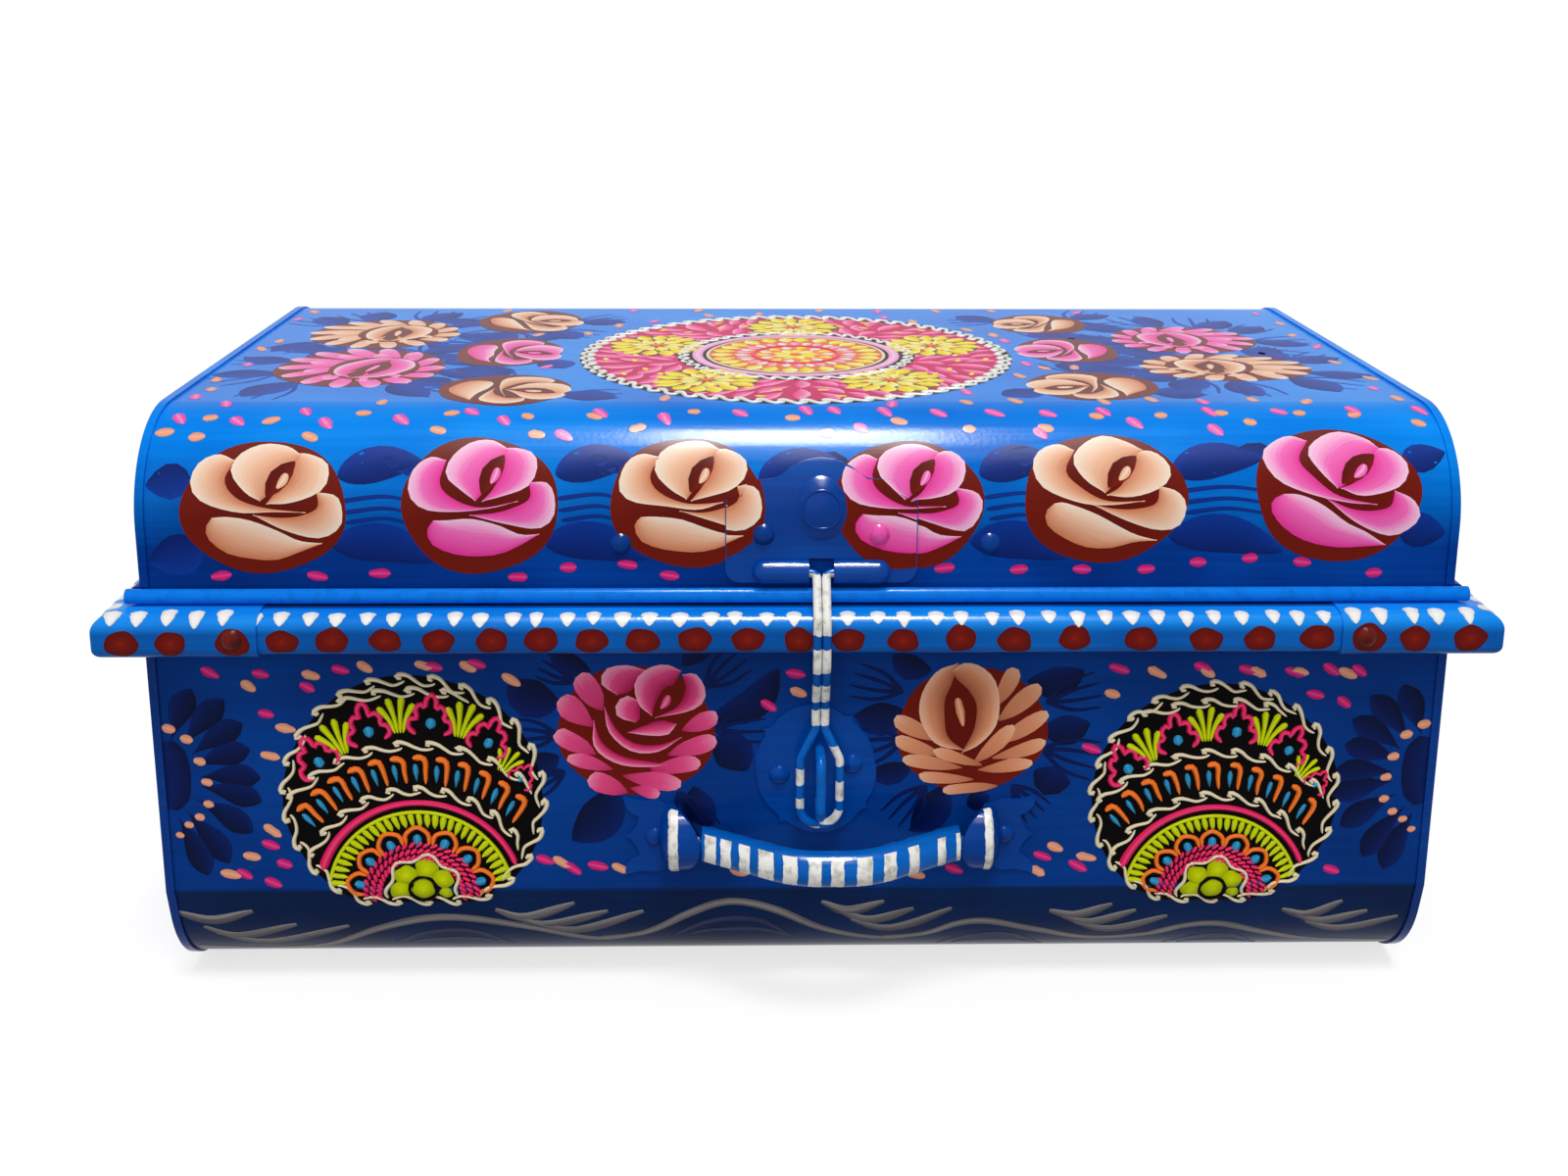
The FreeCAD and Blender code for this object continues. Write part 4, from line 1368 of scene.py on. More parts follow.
@dataclass(frozen=True)
class Rose(Flower):
    """A layered rose seen from its side: a cup with an eye, a wing each side and a foot."""

    petals: tuple[PetalShape, ...] = (FOOT, WING_RIGHT, WING_LEFT, CUP_RIGHT, CUP_LEFT)
    shift: Pair = (0.8, 2.2)
    dark_eye: Curve = ((0.2, 3.2), (7.6, 16.6))
    pale_drop: Curve = ((5.6, 12), (5, 9.4), (3.4, 6.6))

    def placing(self) -> Placing:
        """Give the placing that brings the turned design to the rose's width and height."""
        turned = Placing(ORIGIN, turn=self.turn, mirror=self.mirror)
        edges = np.vstack([turned.put((*petal.rim, *petal.inner)) for petal in self.petals])
        low, high = edges.min(axis=0), edges.max(axis=0)
        size = np.array([self.width * 0.96, self.height * 0.9]) / (high - low)
        centre = self.centre - (low + high) / 2 * size + turned.spot(self.shift)
        return Placing(centre, size, self.turn, self.mirror)

    def paint(self, painting: Painting) -> None:
        """Paint the rose.

        Args:
            painting: Where it goes.
        """
        place = self.placing()
        radii = (self.width / 2 + 0.8, self.height / 2 + 1.2)
        painting.disc(self.centre, radii, Pot.MAROON, lift=0.09, wobble=0.015, cells=14)
        self.lay_petals(painting, place, 0.11, 0.015, (0.45, 0.35))
        low, high = place.put(self.dark_eye)
        wide = place.size[0]
        painting.leaf(low, high, 7.4 * wide, Pot.MAROON, bend=0.6, lift=0.28, belly=1.0)
        drop, taper = place.put(self.pale_drop), (0.9, 1.1, 0.5)
        painting.cord(drop, 2.9 * wide, self.pot, height=0.04, lift=0.34, taper=taper, cell=0.8)


@dataclass(frozen=True)
class GardenRose(Flower):
    """A full rose with its cup high on one side, crescents under it and tongues all round.

    Each tongue is its tip, its root and its width. Where hollow is given, a maroon ground of that
    half width lies between the tongues and the cup.
    """

    tongues: tuple[tuple[Point, Point, float], ...] = (
        ((-19.5, 20.5), (-11.5, 7.5), 8.6),
        ((-26.6, 11.5), (-15.0, 2.0), 8.6),
        ((-28.4, -0.5), (-14.0, -8.5), 7.2),
        ((-24.0, -9.8), (-8.0, -14.0), 5.4),
        ((-17.0, -17.2), (-3.0, -23.0), 7.8),
        ((28.3, 6.0), (16.0, 0.0), 6.6),
        ((28.0, -3.0), (11.0, -9.0), 6.6),
        ((22.5, -11.8), (5.0, -14.2), 6.4),
        ((15.5, -19.8), (-5.0, -16.4), 6.4),
        ((8.0, -23.8), (-2.0, -20.8), 4.4),
    )
    petals: tuple[PetalShape, ...] = (
        PetalShape(
            ((-6, 13), (-11.8, 17.5), (-9.5, 23), (-2.5, 24.4), (3.2, 22.6)),
            ((-6, 13), (-2, 14.6), (0.6, 17.6), (3.2, 22.6)),
        ),
        PetalShape(
            ((-15, 3.5), (-14.6, -5.5), (-6.5, -12), (4.5, -13.6), (10.5, -12.2)),
            ((-15, 3.5), (-12.2, -4), (-5.5, -9), (4, -11.4), (10.5, -12.2)),
        ),
        PetalShape(
            ((-11.4, 9.5), (-9.6, -0.6), (-2, -7.6), (8, -7.4), (16.4, -2.6)),
            ((-11.4, 9.5), (-6.6, 1), (-0.5, -4.4), (8, -5), (16.4, -2.6)),
        ),
        PetalShape(
            ((-3, -0.6), (4, -1.8), (11, -0.8), (14.4, 2.2)),
            ((-3, -0.6), (3, 2), (9, 3.8), (14.4, 2.2)),
        ),
        PetalShape(
            ((-0.2, 2.6), (-6.4, 5), (-7.2, 10), (-3, 13.2), (1.2, 11)),
            ((-0.2, 2.6), (1.2, 4.6), (2, 8), (1.2, 11)),
        ),
        PetalShape(
            ((16.2, 21), (21.4, 20.4), (24.6, 16), (24, 10.6), (18, 7.2), (6.4, 4.8)),
            ((16.2, 21), (17.2, 15.4), (14.6, 9.2), (6.4, 4.8)),
        ),
        PetalShape(
            ((6, 5), (0.6, 10), (0, 17), (4.4, 22.6), (11, 24), (16, 21.2)),
            ((6, 5), (7, 10), (10, 15), (13.6, 17.2), (16, 21.2)),
        ),
    )
    eye: Curve = ((11.6, 13), (10.6, 10.4), (8.8, 8.2))
    hollow: float = 0.0
    drawn: Pair = (57.0, 49.0)
    heart: Pair = (4.8, 1.0)
    tongue_outline: tuple[Pair, ...] = ((0.1, 0.8), (0.35, 1.0), (0.7, 0.72), (1.0, 0.08))

    def lay_tongues(self, painting: Painting, place: Placing) -> None:
        """Lay the tongues, each pale at its tip.

        Args:
            painting: Where they go.
            place: What brings the design to its place.
        """
        for layer, (tip, root, width) in enumerate(self.tongues):
            along = np.subtract(root, tip)
            aside = left_of(along) * width / 2
            rails = []
            for hand in (1, -1):
                rail = [tip + aside * hand * 0.3]
                for share, wide in self.tongue_outline:
                    rail.append(tip + along * share + aside * hand * wide)
                rails.append(place.put(painting.wander(rail, 0.2)))
            painting.petal(*rails, self.pot, 0.12 + 0.004 * layer, True)

    def paint(self, painting: Painting) -> None:
        """Paint the rose.

        Args:
            painting: Where it goes.
        """
        size = (self.width / self.drawn[0], self.height / self.drawn[1])
        place = Placing(self.centre, size, self.turn, self.mirror)
        radii = (self.width / 2 - 1.2, self.height / 2 - 0.6)
        painting.disc(self.centre, radii, Pot.MAROON, lift=0.09, wobble=0.012, cells=16)
        self.lay_tongues(painting, place)
        top = 0.14 + 0.004 * len(self.tongues)
        if self.hollow:
            ring = (self.hollow * size[0], self.hollow * size[1])
            painting.disc(
                place.spot(self.heart), ring, Pot.MAROON, lift=top - 0.006, wobble=0.012, cells=16
            )
        self.lay_petals(painting, place, top, 0.012, (0.3, 0.25))
        eye = place.put(self.eye)
        painting.cord(
            eye, 3.0, self.pot, height=0.04, lift=top + 0.11, taper=(0.8, 1.0, 0.4), cell=0.8
        )


ROUND_TONGUES = (
    ((15.5, 23.0), (8.5, 8.5), 6.6),
    ((24.5, 16.5), (10.0, 3.5), 6.8),
    ((27.8, 6.0), (9.0, -5.5), 6.2),
    ((27.2, -5.0), (8.0, -11.0), 5.6),
    ((22.5, -12.8), (3.0, -15.5), 5.0),
    ((-28.0, 4.5), (-13.0, -4.0), 6.4),
    ((-28.0, -3.6), (-10.0, -10.0), 5.6),
    ((-25.0, -11.0), (-3.0, -14.5), 5.0),
    ((-19.0, -17.6), (1.0, -19.2), 4.6),
    ((-10.0, -23.2), (10.0, -21.6), 4.2),
    ((15.5, 1.0), (1.0, -13.0), 6.0),
    ((-14.0, -8.0), (4.0, -13.4), 4.4),
)
ROUND_CUP = (
    PetalShape(
        ((-3, -8.4), (-13, -5.4), (-18.8, 3.2), (-18.8, 13.5), (-13.5, 21.9), (-5, 25)),
        ((-3, -8.4), (-8.6, -3.2), (-10.4, 4.5), (-9.8, 11.6), (-8.2, 17.3), (-5, 25)),
    ),
    PetalShape(
        (
            (-8, 21.9), (-3.5, 24.5), (2.5, 23.7), (8, 18.6),
            (9.8, 10.3), (8.2, 1.2), (3, -5.5), (-3, -8.4),
        ),
        ((-8, 21.9), (-5.5, 18.6), (-1.6, 15.5), (1.4, 10.4), (1.6, 4.5), (0.4, -1.4), (-3, -8.4)),
    ),
)  # fmt: skip
ROUND_EYE = ((-5.6, 12), (-4.4, 7), (-3.2, 1.5))


def tongue_ring(
    count: int, near: float, far: float, width: float, first: float
) -> tuple[tuple[Point, Point, float], ...]:
    """Give a ring of tongues that sweep round a heart right of the middle.

    Args:
        count: How many there are.
        near: Where their roots are, as a share of the flower's half size.
        far: Where their tips are.
        width: Their width.
        first: Angle of the first.

    Returns:
        The tip, root and width of each.
    """
    ring = []
    for k in range(count):
        angle = first + 360 * k / count
        (x, y), (u, v) = (polar(ORIGIN, 1.0, angle - lag) for lag in (0, 26))
        tip, root = (28.2 * far * x, 24.2 * far * y), (5 + 28.2 * near * u, 1 + 24.2 * near * v)
        ring.append((tip, root, width))
    return tuple(ring)


def open_rose(
    centre: Point, width: float, height: float, pot: Pot, turn: float, mirror: bool = False
) -> GardenRose:
    """Give a garden rose that has opened: two rings of tongues round a small cup.

    Args:
        centre: Its middle.
        width: Its width.
        height: Its height.
        pot: Its paint.
        turn: How far it is turned.
        mirror: Its cup is on the left.

    Returns:
        The rose.
    """
    small = Placing((8.4, -5.4), (0.8, 0.8)).put
    cup = tuple(PetalShape(small(p.rim), small(p.inner)) for p in ROUND_CUP)
    tongues = (*tongue_ring(14, 0.42, 1.0, 6.2, 8), *tongue_ring(9, 0.25, 0.7, 5.8, 30))
    eye = small(ROUND_EYE)
    return GardenRose(centre, width, height, pot, turn, mirror, tongues, cup, eye, 14.6)


def circle(centre: Point, radius: float, first: float = 0.0, last: float = 360.0) -> Curve:
    """Give points along an arc, a few degrees apart.

    Args:
        centre: Its centre.
        radius: Its radius.
        first: Angle it starts at.
        last: Angle it ends at.

    Returns:
        The points.
    """
    count = max(3, int(abs(last - first) / 6) + 1)
    return [polar(centre, radius, float(a)) for a in np.linspace(first, last, count)]


@dataclass(frozen=True)
class LidMandala:
    """The round garden on the lid: a rope, five fields of pink leaves and five yellow heads.

    A leaf of a field is the angle from the field's middle and the radius of its stem, the same of
    its tip, and its width. A spot is such an angle and radius.
    """

    centre: Point = (0.5, 164.0)
    size: Point = (1.0, 0.966)
    heads: int = 5
    head_at: float = 60.0
    head_radius: float = 19.5
    leaves: tuple[tuple[float, float, float, float, float], ...] = (
        (0, 49, 0, 62, 7.0),
        (0, 63, -1, 81, 8.0),
        (5, 50, 14, 61, 6.5),
        (4, 59, 12, 72, 7.5),
        (13, 58, 19, 72, 6.5),
        (6, 70, 9, 82, 6.5),
        (14, 70, 17, 82, 6.5),
        (20, 69, 24, 82, 6.0),
        (11, 48, 17, 54, 5.0),
        (26, 75, 29, 82, 4.5),
    )
    spots: tuple[Pair, ...] = ((7.5, 66), (17, 65), (11, 77))

    def spot(self, radius: float, degrees: float) -> Point:
        """Give the place at a radius and angle from the centre."""
        return Placing(self.centre, self.size).spot(polar(ORIGIN, radius, degrees))

    def arc(self, radius: float, first: float = 0.0, last: float = 360.0) -> Curve:
        """Give an arc round the centre."""
        return Placing(self.centre, self.size).put(circle(ORIGIN, radius, first, last))

    def paint_field(self, painting: Painting, middle: float) -> None:
        """Paint one field of pink leaves, alike on both sides of its middle.

        Args:
            painting: Where it goes.
            middle: Angle of its middle.
        """
        place = Placing(self.centre, self.size)
        for hand in (1, -1):
            for turn, near, turn_far, far, width in self.leaves:
                if hand == -1 and turn == 0:
                    continue
                stem = polar(ORIGIN, near, middle + hand * turn)
                tip = polar(ORIGIN, far, middle + hand * turn_far)
                start, end = place.put(painting.wander([stem, tip], 0.6))
                painting.leaf(
                    start, end, width * 0.86, Pot.ROSY, bend=1.2 * hand, lift=0.12, belly=1.25
                )
            for turn, away in self.spots:
                spot = self.spot(away, middle + hand * turn)
                painting.dab(spot, 4.2, 2.2, middle + 90, Pot.YELLOW, lift=0.2)

    def paint_head(self, painting: Painting, middle: float) -> None:
        """Paint one yellow flower head.

        Args:
            painting: Where it goes.
            middle: Angle of its middle.
        """
        rough = painting.random
        heart = self.spot(self.head_at, middle)
        painting.disc(
            heart, (self.head_radius, self.head_radius), Pot.UMBER, lift=0.16, wobble=0.03, cells=14
        )
        for count, near, far, width, pot in (
            (15, 9.0, 20.6, 6.6, Pot.YELLOW),
            (9, 2.8, 12.0, 5.8, Pot.PALE_YELLOW),
        ):
            for k in range(count):
                degrees = 360 * k / count + rough.uniform(-3, 3) + middle
                root = polar(heart, near, degrees)
                tip = polar(heart, far + rough.uniform(-1, 0.6), degrees)
                painting.leaf(root, tip, width, pot, bend=0.3, lift=0.2, belly=1.4)
        for k in range(8):
            painting.dab(polar(heart, 10.6, 45 * k + 20), 2.2, 1.5, 45 * k, Pot.ORANGE, lift=0.26)
        painting.disc(heart, (2.8, 2.8), Pot.ORANGE, lift=0.24, wobble=0.02, cells=4, crown=0.25)

    def paint_heart(self, painting: Painting) -> None:
        """Paint the rings inside the fields.

        Args:
            painting: Where they go.
        """
        painting.disc(self.centre, (48.5, 46.8), Pot.BLACK, lift=0.15, wobble=0.0, cells=24)
        painting.disc(self.centre, (35.4, 34.2), Pot.ORANGE, lift=0.17, wobble=0.0, cells=18)
        painting.rope(self.arc(46.0), 6.8, 1.7, 1.7, Pot.WHITE, 0.5)
        for radius, width, pot in ((40.0, 4.2, Pot.PALE_PINK), (35.8, 1.4, Pot.CREAM)):
            for first in range(0, 360, 60):
                arc = self.arc(radius, first, first + 60.5)
                painting.cord(arc, width, pot, height=0.25, lift=0.2, ring=True, cell=2.0)
        for count, near, far, width, pots in (
            (26, 25.4, 34.6, 6.6, (Pot.YELLOW, Pot.PALE_YELLOW)),
            (28, 18.6, 24.8, 4.0, (Pot.WHITE, Pot.PALE_PINK)),
            (14, 10.0, 15.8, 4.6, (Pot.WHITE, Pot.YELLOW)),
            (9, 0.8, 9.6, 5.2, (Pot.YELLOW, Pot.PALE_YELLOW)),
        ):
            for k in range(count):
                degrees = 360 * k / count + painting.random.uniform(-1.5, 1.5)
                start, end = self.spot(near, degrees), self.spot(far, degrees)
                painting.leaf(start, end, width, pots[k % 2], bend=0.2, lift=0.2, belly=1.35)
        for first in range(0, 360, 90):
            arc = self.arc(17.4, first, first + 91)
            painting.cord(arc, 1.6, Pot.MAGENTA, height=0.3, lift=0.2, ring=True)
        painting.disc(
            self.centre, (2.6, 2.6), Pot.ORANGE, lift=0.24, wobble=0.02, cells=4, crown=0.3
        )

    def paint(self, painting: Painting) -> None:
        """Paint the whole round.

        Args:
            painting: Where it goes.
        """
        painting.disc(self.centre, (87.5, 84.5), Pot.BLACK, lift=0.05, wobble=0.0, cells=34)
        painting.disc(self.centre, (82.5, 79.7), Pot.FUCHSIA, lift=0.08, wobble=0.0, cells=34)
        step = 360 / self.heads
        for k in range(self.heads):
            self.paint_field(painting, 90 + step * (k + 0.5))
            self.paint_head(painting, 90 + step * k)
        self.paint_heart(painting)
        painting.rope(self.arc(84.6), 8.2, 2.3, 1.9, Pot.WHITE, 0.6)


@dataclass(frozen=True)
class FanMandala:
    """A round patch on the body's front, filled with tiers that fan out from a low flower.

    The crown's lotuses and sprigs are each an angle, a radius and a share of the full size.
    """

    centre: Point
    radius: float
    source: Point
    scale: float = 1.0
    floor: float = -6.0
    hooks: int = 12
    arches: int = 7
    arch: tuple[Pair, ...] = ((21.0, 1.0), (24.6, 0.85), (27.0, 0.0), (24.6, -0.85), (21.0, -1.0))
    hook: tuple[Pair, ...] = ((-0.4, -0.4), (3.6, -0.2), (7.2, 0.0), (9.0, 1.2), (8.9, 4.2))
    lotus: tuple[Pair, ...] = (
        (-5.2, -6.4), (-7.8, -4.6), (-7.6, -1.6), (-5.0, -0.8), (-5.6, 2.0), (-3.6, 4.0),
        (-1.9, 3.0), (-1.6, 6.2), (0.2, 8.0), (1.9, 6.2), (2.0, 3.0), (3.8, 3.8), (5.6, 1.8),
        (5.0, -0.8), (7.6, -1.8), (7.8, -4.6), (5.4, -6.2),
    )  # fmt: skip
    lotuses: tuple[Point3, ...] = (
        (123, 64.5, 1.0), (104, 68.0, 1.0), (85, 69.5, 1.0), (66.5, 67.0, 0.94), (51, 60.0, 0.62),
    )  # fmt: skip
    sprigs: tuple[Point3, ...] = (
        (114, 67.5, 1.0), (94.5, 70.5, 1.0), (75.5, 70.5, 1.0), (58.0, 64.0, 0.72),
    )  # fmt: skip

    def span(self, radius: float, margin: float = 2.4) -> Pair:
        """Give the angles between which an arc round the source stays inside the patch.

        Args:
            radius: The arc's radius before scaling.
            margin: How far it keeps from the patch's edge.

        Returns:
            Its first angle, at the left, and its last.
        """
        angles = np.linspace(190, -10, 401)
        at = np.array([polar(self.source, radius * self.scale, float(a)) for a in angles])
        away = np.linalg.norm(at - self.centre, axis=1)
        inside = (away < self.radius - margin) & (at[:, 1] > self.floor + 1.2)
        held = angles[inside]
        return float(held.max()), float(held.min())

    def spot(self, radius: float, degrees: float) -> Point:
        """Give the place at a radius and angle from the source."""
        return polar(self.source, radius * self.scale, degrees)

    def arc(self, radius: float, margin: float = 2.4) -> Curve:
        """Give an arc round the source, cut to the patch."""
        first, last = self.span(radius, margin)
        return circle(self.source, radius * self.scale, first, last)

    def paint_flower(self, painting: Painting) -> None:
        """Paint the low flower, its scallop and the fish scales round it.

        Args:
            painting: Where it goes.
        """
        k = self.scale
        heart = (self.source[0] + 0.8 * k, self.source[1] + 2.6 * k)
        for degrees, size in ((183, 1.0), (137, 1.05), (80, 1.1), (30, 1.0), (-12, 0.6)):
            spot = polar(heart, 8.2 * k, degrees)
            radii = (3.9 * k * size, 3.7 * k * size)
            painting.disc(spot, radii, Pot.LIME, lift=0.1, wobble=0.05, cells=6, crown=0.5)
        painting.cord(circle(heart, 5.0 * k), 1.1, Pot.BLACK, height=0.3, lift=0.4, ring=True)
        painting.disc(
            heart, (4.1 * k, 4.0 * k), Pot.LIME, lift=0.2, wobble=0.03, cells=6, crown=0.6
        )
        scallop = [
            polar(heart, k * (12.7 + 1.3 * math.cos(math.radians((a - 80) * 6.6))), a)
            for a in range(196, -20, -6)
        ]
        kept = [(x, max(y, self.floor + 1.4)) for x, y in scallop]
        painting.cord(kept, 1.4 * k, Pot.CREAM, height=0.5)
        for row, radius in enumerate((15.2, 17.7, 20.2)):
            first, last = self.span(radius, 1.5)
            for a in np.arange(last + 3 + 3 * (row % 2), first, 7.5):
                spot = self.spot(radius, a)
                painting.dab(spot, 3.0 * k, 1.7 * k, a + 130, Pot.MAGENTA, drop=0.2, crown=0.4)

    def paint_arches(self, painting: Painting) -> None:
        """Paint the orange arches with their blue dots, the ladder, and the arcs over them.

        Args:
            painting: Where they go.
        """
        k = self.scale
        first, last = self.span(25.0, 0.6)
        step = (first - last) / self.arches
        half = step * 0.44
        for n in range(self.arches):
            middle = first - step * (n + 0.5)
            arch = [self.spot(radius, middle + turn * half) for radius, turn in self.arch]
            painting.cord(painting.wander(arch, 0.15), 1.8 * k, Pot.ORANGE, height=0.6)
            painting.dab(
                self.spot(22.4, middle), 3.8 * k, 3.4 * k, middle, Pot.SKY, drop=0.1, crown=0.6
            )
        first, last = self.span(30.0, 1.8)
        for a in np.arange(last + 2, first, 5.4):
            spot = self.spot(30.2, a)
            painting.dab(spot, 6.0 * k, 2.5 * k, a + 188, Pot.LIME, drop=0.35, crown=0.45)
        painting.cord(self.arc(33.0, 1.2), 1.5 * k, Pot.LIME, height=0.5)
        painting.cord(self.arc(36.6, 2.4), 2.3 * k, Pot.MAGENTA, height=0.65, taper=(1.5, 1.0, 1.0))

    def paint_hooks(self, painting: Painting) -> None:
        """Paint the row of orange hooks, each with a blue drop.

        Args:
            painting: Where they go.
        """
        k = self.scale
        first, last = self.span(50.0, 4.2)
        for n in range(self.hooks):
            a = first - 1.5 - (first - last - 3) * (n + 0.5) / self.hooks
            foot = np.array(self.spot(45.0, a - 1.2))
            lean = 90 + (a - 90) * 0.72
            up = np.array(polar(ORIGIN, 1.0, lean)) * k
            left = np.array([-up[1], up[0]])
            hook = painting.wander([foot + up * u + left * w for u, w in self.hook], 0.15)
            painting.cord(hook, 2.0 * k, Pot.ORANGE, height=0.7, taper=(0.7, 1.0, 1.35))
            drop = foot + up * 3.4 + left * 3.3
            painting.dab(drop, 6.6 * k, 2.3 * k, lean + 186, Pot.SKY, drop=0.6, crown=0.5)

    def paint_crown(self, painting: Painting) -> None:
        """Paint the lotuses and the sprigs between them.

        Args:
            painting: Where they go.
        """
        for a, radius, share in self.lotuses:
            k = self.scale * share
            place = Placing(self.spot(radius + 0.5, a), (k * 0.96, k * 1.06), a - 90)
            lotus = place.put(painting.wander(self.lotus, 0.12))
            painting.cord(lotus, 2.1 * k, Pot.MAGENTA, height=0.65)
            painting.dab(place.spot((0.2, -2.4)), 4.0 * k, 3.6 * k, a, Pot.SKY, crown=0.6)
        for a, radius, share in self.sprigs:
            k = self.scale * share
            for turn in (-27, -10, 8, 25):
                foot = self.spot(radius - 6.5, a - turn * 0.05)
                reach = (14.5 - abs(turn) * 0.12) * k
                knee = polar(foot, reach * 0.5, a - turn * 0.7)
                tip = polar(foot, reach, a - turn)
                painting.cord(
                    [foot, knee, tip], 2.2 * k, Pot.LIME, height=0.6, taper=(0.6, 0.8, 1.35)
                )

    def paint(self, painting: Painting) -> None:
        """Paint the whole patch.

        Args:
            painting: Where it goes.
        """
        k = self.scale
        radii = (self.radius, self.radius)
        painting.disc(
            self.centre, radii, Pot.BLACK, lift=0.06, wobble=0.006, cells=26, floor=self.floor
        )
        self.paint_flower(painting)
        self.paint_arches(painting)
        self.paint_hooks(painting)
        self.paint_crown(painting)
        for radius, pitch in ((41.2, 10.0), (58.6, 10.5), (79.0, 12.0)):
            painting.rope(self.arc(radius, 2.6), pitch * k, 1.5 * k, 1.35 * k, Pot.CREAM)
        around = [
            (x, max(y, self.floor + 1.0))
            for x, y in circle(self.centre, self.radius - 1.2, 275, -85)
        ]
        painting.rope(around, 11.0 * k, 1.9 * k, 1.4 * k, Pot.CREAM)


# ---------------------------------------------------------------- the bodies


@dataclass
class Assembly:
    """One body of the trunk: its nodes' finishes, and whatever is painted on it.

    A node takes the first coat whose beginning of a name fits its own, and else the plain one.
    """

    body: ClassVar[str]
    plain: ClassVar[Coat]
    coats: ClassVar[dict[str, Coat]] = {}
    sheet: ClassVar[Sheet] = Sheet(Side.FRONT)

    def dress(self) -> None:
        """Give the body's own nodes their finishes, each one all over."""
        for name in frame["record"]["behaviour"]["bodies"][self.body]:
            fitting = (coat for start, coat in self.coats.items() if name.startswith(start))
            material = material_of(next(fitting, self.plain))
            piece = frame["nodes"][name]
            if not piece.material_slots:
                piece.data.materials.append(material)
            for slot in piece.material_slots:
                slot.material = material

    def start(
        self, name: str, seed: int, sheet: Sheet | None = None, base: float = 0.0
    ) -> Painting:
        """Start a painting that rides on the body.

        Args:
            name: Its name.
            seed: Seed of the hand's small errors.
            sheet: What carries it, the body's front if nothing is said.
            base: How far above the sheet the painted surface lies.

        Returns:
            The painting.
        """
        return Painting(name, sheet or self.sheet, self.body, seed, base)

    def paint(self) -> None:
        """Paint what the body carries: nothing, unless a body says so."""


class Hasp(Assembly):
    """The doubled wire hasp, enamelled blue with white dashes."""

    body = "hasp"
    plain = Coat.HASP


class Handle(Assembly):
    """The bail handle: a striped grip on its wire."""

    body = "handle"
    plain = Coat.GRIP


